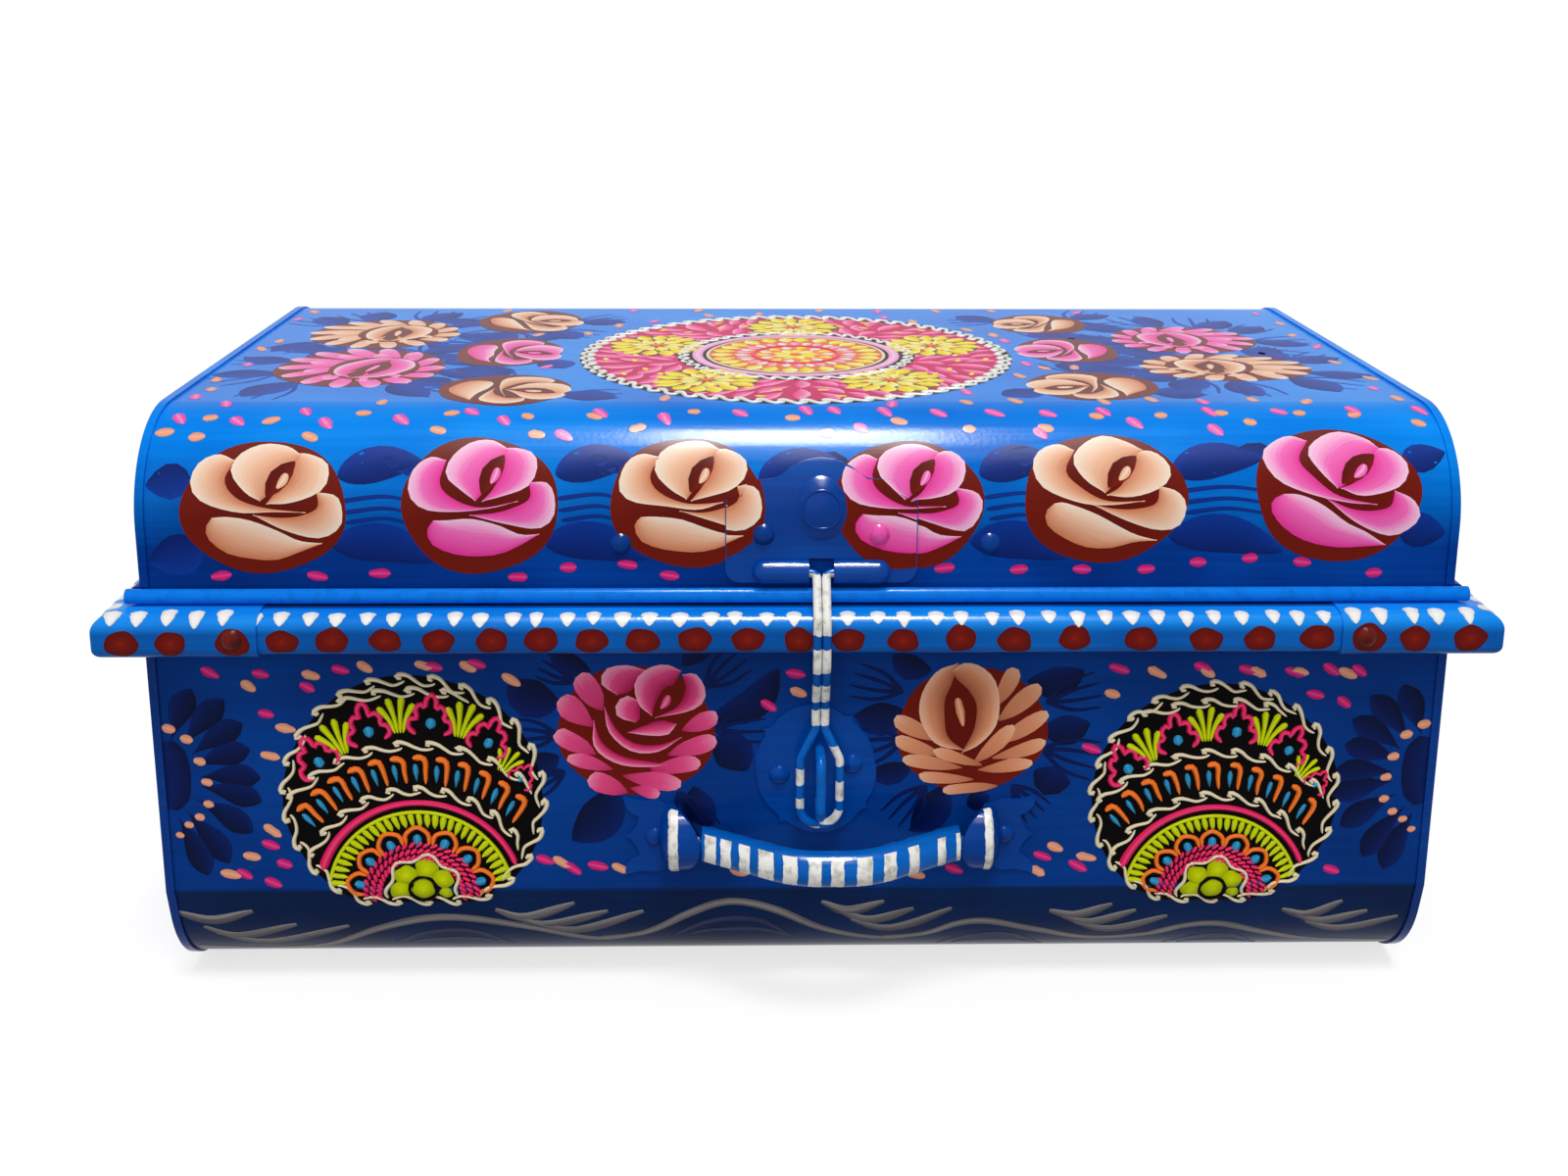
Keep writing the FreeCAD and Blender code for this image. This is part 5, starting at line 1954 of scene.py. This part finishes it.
@dataclass
class Lid(Assembly):
    """The lid: enamelled sheets and fittings, six roses on its front and a garden on its top.

    The front's roses run on over the hasp plate as pieces of their own, each trimmed to one face
    of the plate. A cut is the x and z of a point on its edge, and the side that is cut away.
    """

    body = "lid"
    plain = Coat.LID
    coats = {
        "lid_edge_wires": Coat.STEEL,
        "lid_strap_rivets": Coat.SHEET,
        "hasp_plate_rivets": Coat.HASP_RIVETS,
        "hasp_plate": Coat.HASP_PLATE,
    }
    sheet = LidSheet(Side.FRONT)
    garden = LidMandala()
    plate_lift: float = 0.92
    top_half: float = 225.0
    top_span: Pair = (84.0, 268.0)
    garden_edge: float = 90.0
    roses: tuple[Rose, ...] = (
        Rose((-184.8, 33.7), 54.4, 45.4, Pot.PEACH_PETAL, -8),
        Rose((-111.0, 34.4), 53.0, 46.1, Pot.PINK_PETAL, -1),
        Rose((-39.6, 35.1), 51.6, 44.4, Pot.PEACH_PETAL, -5),
        Rose((36.6, 34.7), 50.8, 43.3, Pot.PINK_PETAL, -7),
        Rose((104.6, 36.8), 54.8, 44.7, Pot.PEACH_PETAL, -13),
        Rose((185.9, 38.2), 55.5, 47.0, Pot.PINK_PETAL, -20),
    )
    open_roses: tuple[GardenRose, ...] = (
        open_rose((-175.0, 207.0), 65.0, 62.0, Pot.PEACH_PETAL, -8),
        open_rose((-170.3, 139.5), 67.0, 69.0, Pot.PINK_PETAL, -28),
        open_rose((166.5, 195.0), 62.0, 57.0, Pot.PINK_PETAL, 10, True),
        open_rose((170.0, 140.5), 68.2, 50.0, Pot.PEACH_PETAL, 2, True),
    )
    small_roses: tuple[Rose, ...] = (
        Rose((-115.9, 235.0), 43.6, 50.0, Pot.PEACH_PETAL, -58),
        Rose((-116.4, 169.0), 41.4, 52.0, Pot.PINK_PETAL, -80),
        Rose((-108.9, 102.0), 47.0, 46.0, Pot.PEACH_PETAL, -88),
        Rose((110.9, 230.0), 39.7, 42.0, Pot.PEACH_PETAL, 70, True),
        Rose((113.1, 173.0), 40.0, 46.0, Pot.PINK_PETAL, 80, True),
        Rose((110.9, 108.0), 46.7, 45.0, Pot.PEACH_PETAL, 86, True),
    )
    plate_cuts: tuple[tuple[str, tuple[tuple[Pair, Pair], ...]], ...] = (
        ("hasp_plate_roses", (
            ((-26.3, 0), (-1, 0)), ((39.5, 0), (1, 0)), ((0, 150), (0, -1)), ((0, 191.1), (0, 1)),
            ((-26.3, 189.4), (-0.3, 0.95)), ((39.5, 189.4), (0.3, 0.95)),
        )),
        ("hasp_plate_crown_roses", (
            ((-20.9, 191.2), (-0.906, 0.424)), ((34.1, 191.2), (0.906, 0.424)),
            ((0, 191.1), (0, -1)), ((0, 196.4), (0, 1)),
        )),
        ("hasp_plate_dome_roses", (
            ((0, 196.4), (0, -1)), ((18.6, 199.2), (0.354, 0.935)),
            ((18.6, 199.2), (0.581, 0.814)), ((-10, 0), (-1, 0)),
        )),
    )  # fmt: skip
    low_dabs: tuple[Pair, ...] = (
        (-200.5, 9.2), (-167.5, 9), (-146, 10), (-98.5, 8.5), (-81, 12), (-60.5, 13), (-46, 9),
        (49.5, 11.5), (75.5, 11), (97.5, 11), (120, 11), (138, 13.5), (156, 15), (174.5, 13.5),
        (200, 9.5),
    )  # fmt: skip
    peach_dabs: tuple[Pair, ...] = (
        (-221.5, 61.5), (-210, 59.5), (-207.5, 69), (-186, 67.5), (-171, 59.5), (-154.5, 72),
        (-127, 62.5), (-123.5, 72), (-96.5, 70), (-92.5, 60.5), (-73, 70), (-57.5, 63.5),
        (-38, 73), (-3, 69), (9, 61), (34.5, 67), (59, 63), (86, 63.5), (105, 70), (128, 70.5),
        (150, 72), (159, 66.5), (178, 72), (197.5, 71), (219, 66),
    )  # fmt: skip
    pink_dabs: tuple[Pair, ...] = (
        (-218, 68.5), (-197.5, 67), (-166.5, 66), (-175, 73), (-140.5, 68), (-116.5, 73),
        (-104.5, 67.5), (-83, 60), (-71, 72), (-48, 68.5), (-21.5, 72), (2, 74), (12, 74),
        (21, 63.5), (30, 73), (49, 72), (69, 72), (84, 61), (88, 71.5), (108, 73), (118, 66),
        (146, 62.5), (146, 73), (171, 73), (198, 74), (222, 74),
    )  # fmt: skip
    top_dabs: tuple[Pair, ...] = (
        (-219, 90), (-217, 102), (-220, 118), (-216, 145), (-219, 175), (-216, 191), (-221, 240),
        (-218, 258), (219, 88), (216, 104), (221, 121), (217, 150), (220, 181), (217, 205),
        (220, 232), (216, 256), (-109, 205), (-88, 208), (-98, 141), (-76, 226), (87, 205),
        (90, 193), (98, 139), (86, 125), (92, 147), (110, 140), (77, 217), (-61, 236), (-37, 250),
        (-14, 254), (43, 246), (55, 236), (-49, 88), (33, 80), (60, 82), (78, 84), (62, 98),
        (110, 83), (128, 86), (146, 83), (165, 86), (184, 83), (-205, 80), (-150, 82), (-130, 262),
        (-72, 262), (-42, 263), (14, 262), (41, 261), (68, 262), (94, 262), (133, 258),
    )  # fmt: skip
    corner_leaves: tuple[tuple[Pair, Pair, float], ...] = (
        ((-210, 44), (-225, 41), 13.0),
        ((-206, 19), (-225, 14), 15.0),
        ((209, 49), (225, 53), 11.0),
        ((207, 26), (224, 24), 13.0),
    )

    def paint(self) -> None:
        """Paint the front, its touches, and the top."""
        self.paint_front_leaves()
        self.paint_front_roses()
        self.paint_dabs()
        self.paint_top_leaves()
        self.paint_top()

    def paint_front_leaves(self) -> None:
        """Paint the leaves and hair strokes between the front's roses."""
        leaves = self.start("lid_front_leaves", 12)
        centres = [rose.centre for rose in self.roses]
        for left, right in zip(centres, centres[1:]):
            x, s = left[0] + 25.0, left[1]
            gap = right[0] - left[0]
            upper, lower = leaves.wander(((x, s + 9.5), (x - 3, s - 14)), 1.0)
            leaves.leaf(upper, (upper[0] + gap * 0.4, upper[1] + 5), 13.5, bend=2.5)
            leaves.leaf(lower, (lower[0] + gap * 0.5, lower[1] - 6), 14.0, bend=3.5)
            far = (right[0] - 24.0, right[1] + 2)
            leaves.leaf((far[0] + 4, far[1] + 9), (far[0] - 10, far[1] + 14), 8.0, bend=-1.5)
            for k, drop in enumerate((2.0, -2.0, -5.5)):
                middle = (x + gap * 0.22, s + drop + 1.6)
                hair = [(x + 1 + k, s + drop), middle, (far[0] + 3 - k, s + drop - 0.5)]
                leaves.hair(hair, 1.7, Pot.LEAF, cell=2.2)
        for start, end, width in self.corner_leaves:
            leaves.leaf(start, end, width)
        leaves.make()

    def paint_front_roses(self) -> None:
        """Paint the row of roses, and what of them lies on the hasp plate."""
        painting = self.start("lid_front_roses", 11)
        for rose in self.roses:
            rose.paint(painting)
        painting.make()
        for name, cuts in self.plate_cuts:
            on_plate = self.start(name, 11, base=self.plate_lift)
            for rose in self.roses[2:4]:
                rose.paint(on_plate)
            piece = on_plate.make()
            for (x, z), (across, up) in cuts:
                trim(piece, (x, 0.0, z), (across, 0.0, up))

    def paint_dabs(self) -> None:
        """Scatter the peach and pink touches over the front, the round and the top."""
        painting = self.start("lid_dabs", 13)
        painting.scatter(self.low_dabs, Pot.HOT_PINK, (5.5, 7.5), 3.4, (-12, 12))
        painting.scatter(self.peach_dabs, Pot.PEACH, (4.5, 6.5), 3.8, (-30, 30))
        painting.scatter(self.pink_dabs, Pot.ORCHID, (6, 8), 5.0, (-70, -30), 0.45)
        for k, spot in enumerate(self.top_dabs):
            pot = Pot.PEACH if k % 3 else Pot.ORCHID
            painting.scatter([spot], pot, (6, 9), 4.4, (60, 120), 0.2)
        painting.make()

    def clear(self, end: Point) -> bool:
        """Tell whether a stroke may end here: on the top, and off its round garden."""
        on_top = abs(end[0]) < self.top_half and self.top_span[0] < end[1] < self.top_span[1]
        return on_top and math.dist(end, self.garden.centre) >= self.garden_edge

    def paint_top_leaves(self) -> None:
        """Paint the big dark leaves and the sprays of hair strokes round the top's flowers."""
        painting = self.start("lid_top_leaves", 14)
        rough = painting.random
        for flower in (*self.open_roses, *self.small_roses):
            big = isinstance(flower, GardenRose)
            count, reaches = (10, (23, 30)) if big else (6, (18, 24))
            first = rough.uniform(0, 40)
            rim = Placing(flower.centre, (flower.width * 0.46, flower.height * 0.46))
            for k in range(count):
                degrees = first + 360 * (k + rough.uniform(-0.15, 0.15)) / count
                start = rim.spot(polar(ORIGIN, 1.0, degrees))
                reach = rough.uniform(*reaches)
                end = polar(start, reach, degrees + rough.uniform(-18, 18))
                if not self.clear(end):
                    continue
                width, bend = rough.uniform(13, 17), rough.uniform(-2, 2)
                painting.leaf(start, end, width, Pot.TOP_LEAF, bend=bend, lift=0.04, belly=1.1)
                self.paint_spray(painting, start, degrees + 180 / count, reach * 1.05)
        painting.make()

    def paint_spray(
        self, painting: Painting, start: Point, degrees: float, reach: float
    ) -> None:
        """Paint a spray of three hair strokes.

        Args:
            painting: Where it goes.
            start: Where they start.
            degrees: The way they go.
            reach: How far they go.
        """
        for turn in (-16, 0, 16):
            end = polar(start, reach, degrees + turn)
            if self.clear(end):
                middle = polar(start, reach * 0.55, degrees + turn * 1.7)
                painting.hair([start, middle, end], 2.0, Pot.TOP_LEAF, cell=2.6)

    def paint_top(self) -> None:
        """Paint the flowers and the round garden on the top."""
        painting = self.start("lid_top_flowers", 15)
        for flower in (*self.open_roses, *self.small_roses):
            flower.paint(painting)
        painting.make()
        garden = self.start("lid_top_mandala", 16)
        self.garden.paint(garden)
        garden.make()


@dataclass
class TrunkBody(Assembly):
    """The body, its rim and its fittings, with two fan mandalas and two flowers on its front.

    A leaf is its stem's and its tip's x and s, its width and its bend. A spray is x and s of its
    foot, the way it goes and its reach.
    """

    body = "trunk_body"
    plain = Coat.SHEET
    coats = {
        "hinge_pin": Coat.STEEL,
        "corner_cap_rivets": Coat.CAP_RIVETS,
        "corner_cap": Coat.RIM,
        "rim": Coat.RIM,
        "body_wrap": Coat.WRAP,
        "handle_plate": Coat.POCKETS,
        "staple_plate": Coat.POCKETS,
        "staple": Coat.RIM,
    }
    sheet = BodySheet(Side.FRONT)
    mandalas: tuple[FanMandala, ...] = (
        FanMandala((-138.0, 36.0), 46.5, (-137.0, -2.5)),
        FanMandala((149.2, 34.5), 44.4, (150.0, -4.0), 0.955, -7.0, 11),
    )
    flowers: tuple[GardenRose, ...] = (
        GardenRose((-58.5, 61.5), 57.5, 51.0, Pot.RUBY_PETAL),
        GardenRose(
            (60.8, 61.5), 55.5, 49.5, Pot.CLAY_PETAL,
            tongues=ROUND_TONGUES, petals=ROUND_CUP, eye=ROUND_EYE,
        ),
    )  # fmt: skip
    leaves: tuple[tuple[float, float, float, float, float, float], ...] = (
        (-66, 40, -82, 19, 16, 3), (-38, 40, -31, 25, 12, -2), (-32, 58, -19, 46, 15, 2),
        (-32, 66, -8, 85, 12, -5), (-85, 72, -103, 81, 15, 3), (-86, 52, -99, 47, 10, 1),
        (-74, 84, -88, 93, 9, 2), (-42, 86, -30, 93, 8, 2), (38, 68, 19, 67, 13, 2),
        (40, 48, 24, 45, 9, 2), (52, 40, 40, 22, 13, 2), (84, 46, 97, 41, 12, -2),
        (86, 62, 103, 64, 12, -2), (80, 80, 100, 84, 12, -3), (46, 84, 32, 90, 10, 2),
        (62, 38, 66, 30, 9, 0),
    )  # fmt: skip
    sprays: tuple[tuple[float, float, float, float], ...] = (
        (-86, 60, 178, 17), (-84, 46, 205, 16), (-44, 38, 300, 20), (-31, 62, 5, 19),
        (-34, 78, 42, 18), (-80, 80, 150, 14), (36, 76, 165, 19), (37, 58, 192, 22),
        (45, 40, 232, 19), (86, 54, -14, 22), (87, 72, 14, 20), (76, 40, -48, 16),
    )  # fmt: skip
    pink_dabs: tuple[Pair, ...] = (
        (-207, 84), (-189.5, 83.5), (-173.5, 78.5), (-188.5, 68.5), (-161.5, 85), (-129, 86),
        (-114, 87), (-190, 18), (-185.5, 10.5), (-190, 3), (-200, 6.5), (-92, 11.5), (-82, 8),
        (-73, 9), (-2, 83), (-11.5, 71), (56, 7), (88, 12), (101, 8), (104, 54), (112.5, 84.5),
        (142, 85), (158, 84), (175, 83), (188, 84), (198, 83.5), (183, 74.5), (193.5, 71.5),
        (194, 6),
    )  # fmt: skip
    peach_dabs: tuple[Pair, ...] = (
        (-194, 79), (-172, 83), (-182, 63), (-188, 52.5), (-189, 23.5), (-197, 13.5), (-205, 6.5),
        (-153, 86), (-132.5, 86.5), (-117, 86), (-102, 81), (-86, 10.5), (-65, 8), (-22, 6.5),
        (-1, 76), (42, 5), (86.5, 6), (92.5, 15.5), (104, 11.5), (110.5, 75), (126, 83),
        (144, 83), (162, 83), (177, 83), (194, 82.5),
    )  # fmt: skip
    left_tips: tuple[Pair, ...] = (
        (-214, 78), (-203, 74), (-197, 65), (-195, 55), (-192, 44), (-192, 35), (-196, 23),
        (-205, 11), (-213, 6),
    )  # fmt: skip
    left_dots: tuple[Pair, ...] = (
        (-224, 63), (-217, 59), (-213, 50.5), (-211, 42.5), (-211, 34), (-214.5, 29),
        (-218.5, 26), (-222, 22),
    )  # fmt: skip
    rim_dots: tuple[float, ...] = (
        -232, -215.3, -194.5, -177.8, -160.7, -142.8, -124.6, -106.1, -89.4, -72.4, -54.7,
        -36.6, -18.8, -0.9, 16, 34.4, 53.9, 73, 93.9, 116.6, 138.7, 158, 177.9, 195, 211.5, 230.3,
    )  # fmt: skip
    wave: tuple[Pair, ...] = (
        (-224, -34), (-200, -37), (-178, -34), (-155, -20), (-130, -13.5), (-100, -19),
        (-75, -28), (-58, -24), (-40, -12), (-25, -6.5), (-8, -11), (10, -22), (30, -29),
        (46, -26), (58, -19), (70, -17.5), (88, -23), (110, -30), (130, -27), (143, -21),
        (157, -20), (176, -27), (196, -34), (224, -36),
    )  # fmt: skip
    sprigs: tuple[tuple[Pair, Pair, Pair], ...] = (
        ((-227, -10), (-214, -14.5), (-199, -10)), ((-218, -18), (-206, -24), (-184, -17)),
        ((-214, -22), (-196, -29), (-165, -18)), ((-111, -10), (-100, -14), (-82, -7)),
        ((-104, -14), (-92, -18), (-70, -11)), ((-98, -17), (-82, -21.5), (-57, -11)),
        ((8, -7), (18, -11.5), (31, -7)), ((14, -11), (26, -16.5), (42, -10.5)),
        ((19, -16), (34, -21.5), (56, -10.5)), ((92, -12), (102, -14.5), (115, -9)),
        ((97, -15), (108, -18.5), (124, -12)), ((102, -18.5), (116, -23), (136, -15)),
        ((178, -12), (188, -15), (200, -8)), ((184, -15), (194, -18.5), (210, -13)),
        ((188, -19), (202, -23.5), (222, -16)),
    )  # fmt: skip
    corner_heart: float = 45.0
    cap_lift: float = 0.92

    def paint(self) -> None:
        """Paint the front, the corners, the low round and the rim."""
        for name, seed, mandala in zip(("left", "right"), (21, 22), self.mandalas):
            painting = self.start("body_mandala_" + name, seed)
            mandala.paint(painting)
            painting.make()
        self.paint_flowers()
        self.paint_corners()
        painting = self.start("body_dabs", 27)
        painting.scatter(self.pink_dabs, Pot.HOT_PINK, (5.6, 7.6), 3.6, (-38, -8), 0.15)
        painting.scatter(self.peach_dabs, Pot.PEACH, (5.6, 7.6), 3.6, (-38, -8), 0.15)
        painting.make()
        self.paint_waves()
        for side in (Side.FRONT, Side.LEFT, Side.RIGHT):
            self.paint_rim(side)

    def paint_flowers(self) -> None:
        """Paint the two flowers, with their leaves and hair strokes under them."""
        leaves = self.start("body_leaves", 23)
        for x, s, to_x, to_s, width, bend in self.leaves:
            leaves.leaf((x, s), (to_x, to_s), width, Pot.MIDNIGHT, bend=bend, lift=0.04, belly=1.0)
        for x, s, degrees, reach in self.sprays:
            for turn in (-20, -7, 7, 20):
                middle = polar((x, s), reach * 0.5, degrees + turn * 1.6)
                end = polar((x, s), reach, degrees + turn)
                leaves.hair([(x, s), middle, end], 1.6, Pot.MIDNIGHT, (1.1, 0.5))
        leaves.make()
        painting = self.start("body_flowers", 24)
        for flower in self.flowers:
            flower.paint(painting)
        painting.make()

    def paint_corners(self) -> None:
        """Paint the dark half flowers that run round the front corners onto the ends."""
        wall, edge = Side.LEFT.value.wall, Side.FRONT.value.wall
        for name, hand, side in (("left", 1, Side.LEFT), ("right", -1, Side.RIGHT)):
            painting = self.start("corner_flower_front_" + name, 25)
            self.paint_corner(painting, -wall * hand, hand, 0.0)
            trim(painting.make(), (-wall * hand, 0.0, 0.0), (-hand, 0.0, 0.0))
            painting = self.start("corner_flower_end_" + name, 26, Sheet(side))
            self.paint_corner(painting, edge * hand, -hand, BodySheet.crease)
            trim(painting.make(), (0.0, -edge, 0.0), (0.0, -1.0, 0.0))

    def paint_corner(self, painting: Painting, corner: float, across: int, up: float) -> None:
        """Paint one wall's part of a corner's half flower.

        Args:
            painting: Where it goes.
            corner: The corner's x on this wall.
            across: Which way the wall lies from it, 1 to the right and -1 to the left.
            up: Where this wall's sheet has the front's s of 0.
        """
        heart = self.corner_heart + up
        stem = [(corner + across * x, s + up) for x, s in ((3.6, 32), (5.6, 45), (3.6, 58))]
        painting.cord(stem, 13.0, Pot.MIDNIGHT, height=0.02, lift=0.05, cell=2.4)
        wall, near = Side.LEFT.value.wall, 0.42
        for x, s in self.left_tips:
            out, rise = x + wall, s - self.corner_heart
            root = (corner + across * out * near, heart + rise * near)
            tip = (corner + across * out, heart + rise)
            painting.leaf(root, tip, 9.5, Pot.MIDNIGHT, bend=0.8 * across, lift=0.05, belly=1.7)
        for k, (x, s) in enumerate(self.left_dots):
            spot = (corner + across * max(x + wall, 5.5), s + up)
            painting.dab(spot, 4.8 - 0.25 * k, 3.4 - 0.15 * k, -15 * across, Pot.PEACH)

    def paint_waves(self) -> None:
        """Paint the silver wave and its sprigs on the sheet's low round."""
        painting = self.start("body_waves", 28)
        for first in range(0, len(self.wave) - 1, 6):
            part = self.wave[first : first + 8]
            painting.cord(
                part, 3.6, Pot.SILVER, height=0.02, lift=0.05, taper=(0.85, 1.0, 0.85), cell=2.4
            )
        for x, s, reach in ((-128, -22, 22), (-24, -16, 22), (72, -27, 20), (156, -29, 18)):
            for step in (0.0, 5.5):
                hill = [(x - reach + step, s - 9), (x - reach * 0.4, s - 0.5 - step),
                        (x + reach * 0.4, s - step), (x + reach, s - 11)]  # fmt: skip
                painting.cord(
                    hill, 3.2, Pot.DIM_SILVER, height=0.02, taper=(0.4, 1.0, 0.4), cell=2.4
                )
        rows = 14
        widths = 4.6 * np.sin(math.pi * (0.08 + 0.84 * round_spacing(rows))) ** 0.8
        for sprig in self.sprigs:
            painting.swath(sprig, widths, rows, Pot.SILVER, 0.06, 0.02, 3)
        painting.make()

    def paint_rim(self, side: Side) -> None:
        """Paint red spots and white drops along the rim, those on the caps as their own piece.

        Args:
            side: The side of the rim.
        """
        if side is Side.FRONT:
            dots, half, cap = self.rim_dots, 236.0, 186.0
        else:
            dots, half, cap = np.linspace(-122, 122, 15), 134.0, 84.5
        strip, name = RimStrip(side), side.name.lower()
        plain = self.start("rim_spots_" + name, 31, strip)
        raised = self.start("cap_spots_" + name, 32, strip, self.cap_lift)
        rough = plain.random
        for x in dots:
            painting = raised if abs(x) > cap else plain
            spot = (x + rough.uniform(-0.4, 0.4), rough.uniform(-1.2, -0.2))
            radii = (rough.uniform(5.2, 6.0), rough.uniform(4.2, 4.9))
            painting.disc(spot, radii, Pot.RIM_RED, lift=0.12, wobble=0.03, cells=10)
        for x in np.arange(-half, half, 9.7):
            painting = raised if abs(x) > cap + 3 else plain
            spot = (x + rough.uniform(-1, 1), 7.8 + rough.uniform(-0.5, 0.5))
            size = (rough.uniform(6.0, 7.4), rough.uniform(6.0, 7.2))
            painting.dab(spot, *size, -90, Pot.WHITE, lift=0.16, drop=0.62, rows=12, columns=3)
        plain.make()
        raised.make()


# ---------------------------------------------------------------- studio


@dataclass
class Studio:
    """A pale floor, soft light, and a camera where the photograph's stood."""

    lens: float = 1726.711 / 1600 * 36
    stand: Point3 = (-18.048, -684.719, 359.201)
    yaw: float = -0.02051
    pitch: float = 0.22897
    roll: float = 0.00486
    axis_above_middle: float = 203.594
    picture_width: float = 1600.0
    floor_radius: float = 400.0
    floor_colour: str = "#a6a6a6"
    floor_glow: float = 0.72
    world_strength: float = 0.33
    key: float = 1.5
    fill: float = 0.62
    softbox_watts: float = 150.0
    softbox_size: Pair = (0.26, 0.42)
    softbox_place: Point3 = (0.03, -0.12, 1.35)

    def place_camera(self) -> None:
        """Stand the camera and aim it."""
        data = bpy.data.cameras.new("camera")
        data.lens = self.lens
        data.sensor_width = 36.0
        data.sensor_fit = "HORIZONTAL"
        data.shift_y = -self.axis_above_middle / self.picture_width
        data.clip_start, data.clip_end = 0.01, 1000.0
        camera = add_object("camera", data)
        flat = Vector((-math.sin(self.yaw), math.cos(self.yaw), 0.0))
        right = Vector((math.cos(self.yaw), math.sin(self.yaw), 0.0))
        level = Vector((0.0, 0.0, 1.0))
        forward = flat * math.cos(self.pitch) - level * math.sin(self.pitch)
        up = level * math.cos(self.pitch) + flat * math.sin(self.pitch)
        across = right * math.cos(self.roll) + up * math.sin(self.roll)
        upright = up * math.cos(self.roll) - right * math.sin(self.roll)
        turn = Matrix((across, upright, -forward)).transposed().to_4x4()
        stand = Vector(self.stand) * MILLIMETRE
        camera.matrix_world = Matrix.Translation(stand) @ turn
        bpy.context.scene.camera = camera

    def lay_floor(self) -> None:
        """Lay a wide round floor in pale matt paint."""
        bpy.ops.object.select_all(action="DESELECT")
        bpy.ops.mesh.primitive_circle_add(
            vertices=96, radius=self.floor_radius, fill_type="NGON", location=(0, 0, 0)
        )
        floor = bpy.context.object
        floor.name = "studio_floor"
        material, tree = blank_material("matt_pale_floor")
        paint = add_node(tree, "BsdfDiffuse", {"Color": linear(self.floor_colour)})
        glow = add_node(tree, "Emission", {"Strength": self.floor_glow})
        dark = add_node(tree, "Emission", {"Strength": 0.0})
        shown = self.by_ray(tree, dark, glow)
        both = add_node(tree, "AddShader", {0: paint.outputs[0], 1: shown})
        add_node(tree, "OutputMaterial", {"Surface": both.outputs[0]})
        floor.data.materials.append(material)

    def by_ray(self, tree: Tree, lighting: bpy.types.Node, seen: bpy.types.Node) -> Socket:
        """Show one shader to the rays that see a background, and light with another.

        A background is seen by the camera's rays, and by those off gloss or through glass.

        Args:
            tree: The tree that asks.
            lighting: What the other rays get.
            seen: What those rays get.

        Returns:
            The shader for every ray.
        """
        path = add_node(tree, "LightPath").outputs
        share = path["Is Camera Ray"]
        for ray in ("Is Glossy Ray", "Is Transmission Ray"):
            share = maths(tree, "ADD", share, path[ray], use_clamp=True)
        shaders = {0: share, 1: lighting.outputs[0], 2: seen.outputs[0]}
        return add_node(tree, "MixShader", shaders).outputs[0]

    def hang_lamp(self, name: str, come_from: Point3, strength: float, softness: float) -> None:
        """Hang one broad lamp so far off that it lights everything alike.

        Args:
            name: The lamp's name.
            come_from: Where its light comes from.
            strength: Its strength.
            softness: How wide it looks, in degrees.
        """
        data = bpy.data.lights.new(name, "SUN")
        data.energy = strength
        data.angle = math.radians(softness)
        lamp = add_object(name, data)
        lamp.rotation_euler = (-Vector(come_from)).to_track_quat("-Z", "Y").to_euler()

    def light(self) -> None:
        """Hang the lamps and set the pale surroundings.

        The softbox only shows as a glint on gloss, and adds nothing to the colours.
        """
        self.hang_lamp("overhead_soft_lamp", (0.05, -0.38, 0.92), self.key, 17)
        self.hang_lamp("front_soft_lamp", (-0.3, -0.85, 0.5), self.fill, 60)
        data = bpy.data.lights.new("softbox", "AREA")
        data.shape, (data.size, data.size_y) = "RECTANGLE", self.softbox_size
        data.energy = self.softbox_watts
        softbox = add_object("softbox", data)
        softbox.location = self.softbox_place
        softbox.visible_diffuse = False
        world = bpy.data.worlds.new("pale_surroundings")
        world.use_nodes = True
        tree = world.node_tree
        tree.nodes.clear()
        soft, white = (
            add_node(tree, "Background", {"Color": (1.0, 1.0, 1.0, 1.0), "Strength": strength})
            for strength in (self.world_strength, 1.0)
        )
        add_node(tree, "OutputWorld", {"Surface": self.by_ray(tree, soft, white)})
        bpy.context.scene.world = world
        bpy.context.scene.view_settings.view_transform = "Standard"


def main() -> None:
    """Build the studio and every sub-assembly."""
    logging.basicConfig(level=logging.INFO, format="%(name)s %(message)s")
    studio = Studio()
    studio.place_camera()
    studio.lay_floor()
    studio.light()
    lid, body = Lid(), TrunkBody()
    for assembly in (lid, body, Hasp(), Handle()):
        assembly.dress()
        assembly.paint()


if __name__ == "__main__":
    main()
